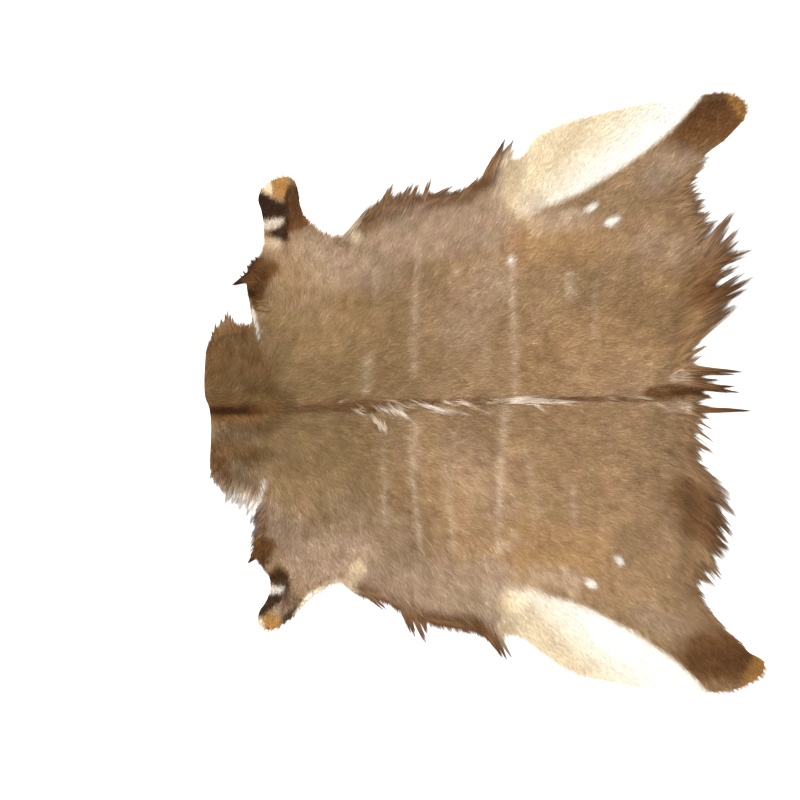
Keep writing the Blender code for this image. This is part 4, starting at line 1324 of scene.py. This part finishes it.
def lock_strands(tip, heading, turn, free, depth, half_width, count, rng):
    """The strands of one lock. Free: how long it is beyond its roots. Depth: how far inwards they lie."""
    root_at = free + depth * rng.uniform(*ROOT_RANGE) * rng.random(count) ** ROOT_SKEW
    tip_at = free * (TIP_RANGE * rng.random(count) ** TIP_SKEW - TIP_AHEAD)
    share = rng.uniform(-1.0, 1.0, count)
    roots, root_heading = lock_line(tip, heading, turn, root_at)
    ends, end_heading = lock_line(tip, heading, turn, tip_at)
    for places, headings, distance in ((roots, root_heading, root_at), (ends, end_heading, tip_at)):
        aside = share * half_width * np.clip(distance / free, *LOCK_WIDTHS) ** LOCK_TAPER
        places += aside[:, None] * np.column_stack((-np.sin(headings), np.cos(headings)))
    run = ends - roots
    inside = np.clip((root_at - free) / ROOT_RISE_WIDTH, 0.0, 1.0)
    rises = ROOT_HEIGHT + ROOT_RISE * inside * rng.random(count)
    streaks = np.clip(rng.random() + rng.normal(0.0, STREAK_SPREAD, count), 0.0, 1.0)
    return roots, rises, np.arctan2(run[:, 1], run[:, 0]), np.linalg.norm(run, axis=1), streaks


def join_strands(strands):
    return [np.concatenate(column) for column in zip(*strands)]


def forward_and_sideways(heading):
    forward = np.array((math.cos(heading), math.sin(heading)))
    return forward, np.array((-forward[1], forward[0]))


def rim_locks(words, over_leather, rng):
    """The strands of all short and single locks of these manes."""
    strands = []

    def add_lock(tip, heading, turn, depth, shortest, limit, half_width, count):
        free = max(rim_distance(tip, heading, turn, over_leather) + ROOT_INSET, shortest)
        if free <= limit:
            count = max(int(count * HAIR_SHARE), FEWEST_STRANDS)
            strands.append(lock_strands(tip, heading, turn, free, depth, half_width, count, rng))

    for row, side, behind_1, out_1, behind_2, out_2, count, shortest, longest, aim_1, aim_2, depth in FRINGE:
        if not row.startswith(words):
            continue
        start, end = plan(behind_1, out_1, side), plan(behind_2, out_2, side)
        shortest, longest, depth = shortest / MM, longest / MM, depth / MM
        count = int(FRINGE_SHARE * count)
        for number in range(count):
            along = (number + rng.random()) / count
            aim = math.radians(aim_1 + (aim_2 - aim_1) * along)
            heading = side * (aim + rng.normal(0.0, FRINGE_STRAY))
            reach = shortest + (longest - shortest) * rng.random() ** FRINGE_SKEW
            inward = depth * rng.uniform(*FRINGE_INWARD)
            forward = forward_and_sideways(heading)[0]
            tip = start + (end - start) * along + forward * (reach - inward * rng.random())
            width = FRINGE_HALF_WIDTH * rng.uniform(*FRINGE_WIDTHS)
            limit = FRINGE_REACH * reach + 2.0 * ROOT_INSET
            add_lock(tip, heading, 0.0, depth, reach, limit, width, FRINGE_STRANDS)
    for mane, side, locks in LONG_LOCKS:
        if mane not in words:
            continue
        depth = LOCK_DEPTH.get(mane, SHALLOW_LOCK)
        points = LOCK_POINTS[mane]
        for behind, out, aim, length, width, count, bend in locks:
            length, width = length / MM, width / MM
            heading, turn = side * math.radians(aim), -side * math.radians(bend) / length
            forward, sideways = forward_and_sideways(heading)
            for point in range(points):
                place = 2.0 * (point + 0.5) / points - 1.0
                aside = 0.0
                if points > 1:
                    aside = POINT_SPREAD * width * (place + rng.uniform(-POINT_STRAY, POINT_STRAY))
                back = POINT_BACK * length * rng.uniform(*POINT_BACKS) * abs(place)
                tip = plan(behind, out, side) + sideways * aside - forward * back
                point_width = width * (POINT_WIDTH if points > 1 else 1.0)
                point_count = count * LOCK_STRAND_SHARE / points
                least = SHORTEST_FREE * length
                add_lock(tip, heading, turn, depth, least, FARTHEST_TIP, point_width, point_count)
    return join_strands(strands)


def long_hair(ground, tree, material, rng):
    """The long hair at the rim, as one piece for each group of manes."""
    pieces = []
    height, over_leather = ground_height(ground)
    shapes = hair_shapes("strand", STRAND_RINGS, STRAND_SWAYS)
    for number, (name, words) in enumerate(LONG_HAIR):
        mesh = point_mesh(name, height, *rim_locks(words, over_leather, rng))
        piece = plant(
            mesh, tree, scatter=False, shapes=shapes, half_width=STRAND_WIDTH, lift=STRAND_LIFT,
            lift_spread=STRAND_LIFT_SPREAD, stray=STRAND_STRAY, length_spread=STRAND_LENGTH_SPREAD,
            seed=LONG_HAIR_SEED + number, material=material,
        )
        finish_hair(piece, rng, long_hair_layers, *STRAND_COLOUR)
        keep_over_leather(piece, height, over_leather)
        pieces.append(piece)
    return pieces


def keep_over_leather(piece, height, over_leather):
    """Lifts what lies below the leather into it."""
    places = mesh_points(piece.data)
    inside = np.flatnonzero(over_leather(places[:, :2]))
    least = height(places[inside, :2]) - 0.5 * LEATHER_THICKNESS
    places[inside, 2] = np.maximum(places[inside, 2], least)
    set_mesh_points(piece.data, places)


def long_hair_layers(spots, streaks, along):
    """The markings of the long hair: browner than the coat towards its tips, but for its light places."""
    layers = marking_layers(spots)
    low, high = LONG_HAIR_BROWN
    share, slope, offset = LIGHT_GREY
    light = sum(layers[name] for name in ("white", "cream", "orange", "pale"))
    light = np.clip(light + share * smooth(slope * layers["grey"] + offset), 0.0, 1.0)
    least = (low + (high - low) * streaks) * (1.0 - light) * smooth(BROWN_FROM_ROOT + along)
    layers["brown"] = np.maximum(layers["brown"], least)
    return layers


def crest_layers(name):
    """The markings of the crest's hair, which are of one colour family, each hair a little differently."""
    def layers_of(spots, streaks, along):
        layers = no_markings(spots)
        for layer, low, high in CREST_COLOURS[name]:
            layers[layer] = low + (high - low) * streaks
        return layers
    return layers_of


def crest_hair(ground, tree, material, rng):
    """Tufts of light hair and a dark line of longer hair along the spine, with painted shadow in dark strands
    at the crest's front.
    """
    height = ground_height(ground)[0]
    shapes = hair_shapes("tuft", STRAND_RINGS, CREST_SWAYS)
    pieces = []
    for family in CREST_COLOURS:
        strands = []
        for _, behind_1, left_1, behind_2, left_2, count, hair, scatter, named in CREST_LINE:
            if named != family:
                continue
            start, end = plan(behind_1, left_1, LEFT), plan(behind_2, left_2, LEFT)
            count = int(count * HAIR_SHARE)
            along = rng.random(count)
            spots = start + (end - start) * along[:, None] + rng.normal(0.0, scatter / MM, (count, 2))
            rises = np.full(count, CREST_LINE_RISE)
            aims = rng.normal(0.0, CREST_STRAY, count)
            lengths = hair / MM * rng.uniform(*CREST_LINE_LENGTHS, count)
            strands.append((spots, rises, aims, lengths, rng.random(count)))
        for behind, left, aim, length, half_width, count, bend in CREST.get(family, ()):
            length, half_width = length / MM, CREST_WIDTH_SHARE * (half_width / MM)
            heading, turn = -math.radians(aim), math.radians(bend) / length
            count = max(int(CREST_STRAND_SHARE * count * HAIR_SHARE), FEWEST_STRANDS)
            free, depth = CREST_FREE * length, CREST_DEPTH * length
            tip = plan(behind, left, LEFT)
            lock = lock_strands(tip, heading, turn, free, depth, half_width, count, rng)
            strands.append((lock[0], lock[1] + CREST_TUFT_RISE, *lock[2:]))
        mesh = point_mesh(f"crest_{family}_hair", height, *join_strands(strands))
        piece = plant(
            mesh, tree, scatter=False, shapes=shapes, half_width=CREST_STRAND_WIDTH, lift=CREST_LIFT,
            lift_spread=STRAND_LIFT_SPREAD, stray=CREST_STRAY, length_spread=CREST_LENGTH_SPREAD,
            seed=CREST_SEED, material=material,
        )
        pieces.append(finish_hair(piece, rng, crest_layers(family), *STRAND_COLOUR))
    return pieces


def colour(values):
    return (*values, 1.0)


def socket_label(attribute):
    return attribute.replace("_", " ").title()


def coat_colours_group():
    """The coat's colour from its marking layers, painted shade and light among them, with mottling over the
    skin and from hair to hair.
    """
    tree, given, result = node_group(
        "coat_colours", "ShaderNodeTree",
        (
            ("Place", "Vector", None),
            *((socket_label(name), "Color", None) for name in MARK_CHANNELS),
            ("Tone", "Float", 0.5),
            ("Along", "Float", 0.5),
            ("Brightness", "Float", 1.0),
        ),
        (("Color", "Color"),),
    )
    marks = {}
    for attribute, names in MARK_CHANNELS.items():
        parts = tree.add("ShaderNodeSeparateColor", Color=given[socket_label(attribute)])
        marks.update(zip(names, parts.outputs))
    place = given["Place"]

    def lay(tint, name, breaks=None):
        share = marks[name] if breaks is None else tree.calc("MULTIPLY", marks[name], breaks)
        return tree.mix(share, tint, colour(COAT[name]))

    broad = tree.remap(tree.noise(place, *BROAD_PATCHES), 0.35, 0.68)
    tint = tree.mix(broad, colour(COAT["sand"]), colour(COAT["taupe"]))
    for name in ("grey", "dun", "gold"):
        tint = lay(tint, name)
    # dim and bright: painted shade and painted light, in places the coat's own tone
    for name in ("dim", "bright"):
        tint = tree.mix(marks[name], tint, colour(TINGES[name]), "MULTIPLY")
    hue = tree.remap(tree.noise(place, *HUE_PATCHES), 0.33, 0.67)
    tinge = tree.mix(hue, colour(TINGES["rosy"]), colour(TINGES["olive"]))
    tint = tree.mix(1.0, tint, tinge, "MULTIPLY")
    streaks = tree.remap(tree.noise(place, *OLIVE_STREAKS), 0.30, 0.65, 1.10, 0.78)
    tint = lay(tint, "olive", streaks)
    breaks = tree.remap(tree.noise(place, *STRIPE_BREAKS), 0.30, 0.62, 0.25, 1.15)
    tint = lay(tint, "pale", breaks)
    for name in ("brown", "black", "orange", "cream", "white"):
        tint = lay(tint, name)
    light = tree.calc("MAXIMUM", marks["white"], marks["cream"])
    spread = tree.remap(light, 0.0, 1.0, 1.0, LIGHT_HAIR_SPREAD)
    bands = tree.noise(tree.vector("MULTIPLY", place, BANDS_STRETCH), 1.0)
    changes = (
        # value, its range, darker at its low end, lighter at its high end
        (given["Tone"], 0.0, 1.0, -0.12, 0.13),
        (tree.noise(place, *PATCHES), 0.25, 0.75, -0.24, 0.24),
        (given["Along"], 0.0, 1.0, -0.13, 0.11),
        (tree.noise(place, *CLUMPS), 0.25, 0.75, -0.16, 0.16),
        (bands, 0.25, 0.75, -0.08, 0.08),
    )
    gain = 1.0
    for change in changes:
        gain = tree.calc("ADD", gain, tree.calc("MULTIPLY", tree.remap(*change), spread))
    brightness = tree.add("ShaderNodeMix", {"data_type": "FLOAT"}, Factor=light, A=given["Brightness"], B=1.0)
    brightness = socket(brightness.outputs, "Result")
    shares = [tree.calc("MULTIPLY", tree.calc("POWER", gain, power), brightness) for power in TONE_POWERS]
    grey = tree.add("ShaderNodeCombineColor", Red=shares[0], Green=shares[1], Blue=shares[2])
    tree.feed(result["Color"], tree.mix(1.0, tint, grey.outputs[0], "MULTIPLY"))
    return tree.tree


def new_material(name):
    material = bpy.data.materials.new(name)
    material.use_nodes = True
    return material, Tree(material.node_tree), material.node_tree.nodes["Principled BSDF"].inputs


def coat_colours(tree, group, place, brightness, tone, along):
    node = tree.add("ShaderNodeGroup", {"node_tree": group})
    values = {"Place": place, "Brightness": brightness, "Tone": tone, "Along": along}
    for name in MARK_CHANNELS:
        values[socket_label(name)] = tree.attribute(name, "Color")
    for name, value in values.items():
        tree.feed(node.inputs[name], value)
    return node.outputs["Color"]


def hair_material(name, group, brightness, roughness):
    """Hair that takes its colour from where its root lies."""
    material, tree, shader = new_material(name)
    tone = tree.attribute("tone")
    root, along = tree.attribute("root", "Vector"), tree.attribute("along")
    tree.feed(shader["Base Color"], coat_colours(tree, group, root, brightness, tone, along))
    low, high = (roughness + change for change in ROUGHNESS_RANGE)
    tree.feed(shader["Roughness"], tree.remap(tone, 0.0, 1.0, low, high))
    shader["Specular IOR Level"].default_value = HAIR_SHINE
    return material


def underfur_material(group):
    """The leather's fur side between the hairs: the same markings, darker, with a fine matted grain."""
    material, tree, shader = new_material("underfur")
    place = tree.add("ShaderNodeTexCoord").outputs["Object"]
    tree.feed(shader["Base Color"], coat_colours(tree, group, place, brightness=0.74, tone=0.5, along=0.4))
    grain = tree.noise(place, 900.0, 3.0, 0.6)
    tree.feed(shader["Roughness"], tree.remap(grain, 0.2, 0.8, 0.78, 0.95))
    bump = tree.add("ShaderNodeBump", Height=grain, Strength=0.5, Distance=0.001)
    tree.feed(shader["Normal"], bump.outputs[0])
    shader["Specular IOR Level"].default_value = UNDERFUR_SHINE
    return material


def flesh_side_material():
    """The tanned flesh side: off-white suede with yellowish fat stains, grey veins and fine nap."""
    material, tree, shader = new_material("flesh_side")
    place = tree.add("ShaderNodeTexCoord").outputs["Object"]
    cloud = tree.remap(tree.noise(place, 5.0, 4.0, 0.6), 0.35, 0.70)
    tint = tree.mix(cloud, colour(SUEDE[0]), colour(SUEDE[1]))
    stain = tree.remap(tree.noise(place, 13.0, 3.0, 0.55), 0.56, 0.72)
    tint = tree.mix(tree.calc("MULTIPLY", stain, 0.55), tint, colour(FAT_STAIN))
    wander = tree.add("ShaderNodeVectorMath", {"operation": "SCALE"}, Scale=0.11)
    tree.feed(wander.inputs[0], tree.noise(place, 9.0, 3.0, output="Color"))
    bent = tree.vector("ADD", place, wander.outputs[0])
    vein = tree.add("ShaderNodeTexVoronoi", {"feature": "DISTANCE_TO_EDGE"}, Vector=bent, Scale=5.0)
    line = tree.remap(vein.outputs["Distance"], 0.0, VEIN_WIDTH, 1.0, 0.0)
    line = tree.calc("MULTIPLY", line, tree.remap(tree.noise(place, 6.0), 0.42, 0.62))
    tree.feed(shader["Base Color"], tree.mix(tree.calc("MULTIPLY", line, 0.16), tint, colour(VEIN)))
    nap = tree.noise(place, 700.0, 4.0, 0.65)
    tree.feed(shader["Roughness"], tree.remap(nap, 0.2, 0.8, 0.72, 0.92))
    relief = tree.calc("ADD", nap, tree.calc("MULTIPLY", line, -1.2))
    bump = tree.add("ShaderNodeBump", Height=relief, Strength=0.4, Distance=0.0008)
    tree.feed(shader["Normal"], bump.outputs[0])
    return material


def leather_sheet(ground, group):
    """The hide itself: the fur side's mesh with the leather's thickness below it."""
    thing = new_object("hide_leather", ground.copy())
    paint_marks(thing.data, marking_layers(mesh_points(thing.data)[:, :2]))
    thing.data.materials.append(underfur_material(group))
    thing.data.materials.append(flesh_side_material())
    solid = thing.modifiers.new("thickness", "SOLIDIFY")
    solid.thickness = LEATHER_THICKNESS
    solid.offset = -1.0
    solid.use_even_offset = False
    solid.material_offset = solid.material_offset_rim = 1
    return plain_mesh(thing, "hide_leather")


def add_floor():
    mesh = bpy.data.meshes.new("floor")
    corners = [(FLOOR_HALF * x, FLOOR_HALF * y, FLOOR_LEVEL) for x, y in ((-1, -1), (1, -1), (1, 1), (-1, 1))]
    mesh.from_pydata(corners, [], [(0, 1, 2, 3)])
    floor = new_object("floor", mesh)
    material, tree, shader = new_material("pale_floor")
    place = tree.add("ShaderNodeTexCoord").outputs["Object"]
    low, high = (colour((grey, grey, grey)) for grey in FLOOR_GREYS)
    tree.feed(shader["Base Color"], tree.mix(tree.noise(place, 3.0), low, high))
    shader["Roughness"].default_value = 0.9
    mesh.materials.append(material)


def add_lights():
    for name, place, size, power in LIGHTS:
        light = bpy.data.lights.new(name, "AREA")
        light.size = size
        light.energy = power
        lamp = new_object(name, light)
        lamp.location = place
        lamp.rotation_euler = (-Vector(place)).to_track_quat("-Z", "Y").to_euler()
    world = bpy.data.worlds.new("studio")
    world.use_nodes = True
    background = world.node_tree.nodes["Background"].inputs
    background["Color"].default_value = (1.0, 1.0, 1.0, 1.0)
    background["Strength"].default_value = 1.0
    bpy.context.scene.world = world
    bpy.context.scene.view_settings.view_transform = "Standard"


def add_camera():
    data = bpy.data.cameras.new("camera")
    data.sensor_width = SENSOR
    data.lens = SENSOR * CAMERA_HEIGHT / VIEW_WIDTH
    data.clip_end = FARTHEST_SEEN
    camera = new_object("camera", data)
    camera.location = (VIEW_X, VIEW_Y, CAMERA_HEIGHT)
    bpy.context.scene.camera = camera


def main():
    add_camera()
    rng = np.random.default_rng(SEED)
    ground = leather_ground(skin_loop())
    colours = coat_colours_group()
    coat, strand, tuft = (hair_material(name, colours, *look) for name, look in HAIR_LOOKS.items())
    tree = hair_tree()
    leather = leather_sheet(ground, colours)
    fur = lying_coat(ground, tree, coat, rng)
    fur += long_hair(ground, tree, strand, rng)
    fur += crest_hair(ground, tree, tuft, rng)
    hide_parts("skin")
    for piece in [leather] + fur:
        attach(piece, "root")
    add_floor()
    add_lights()


main()
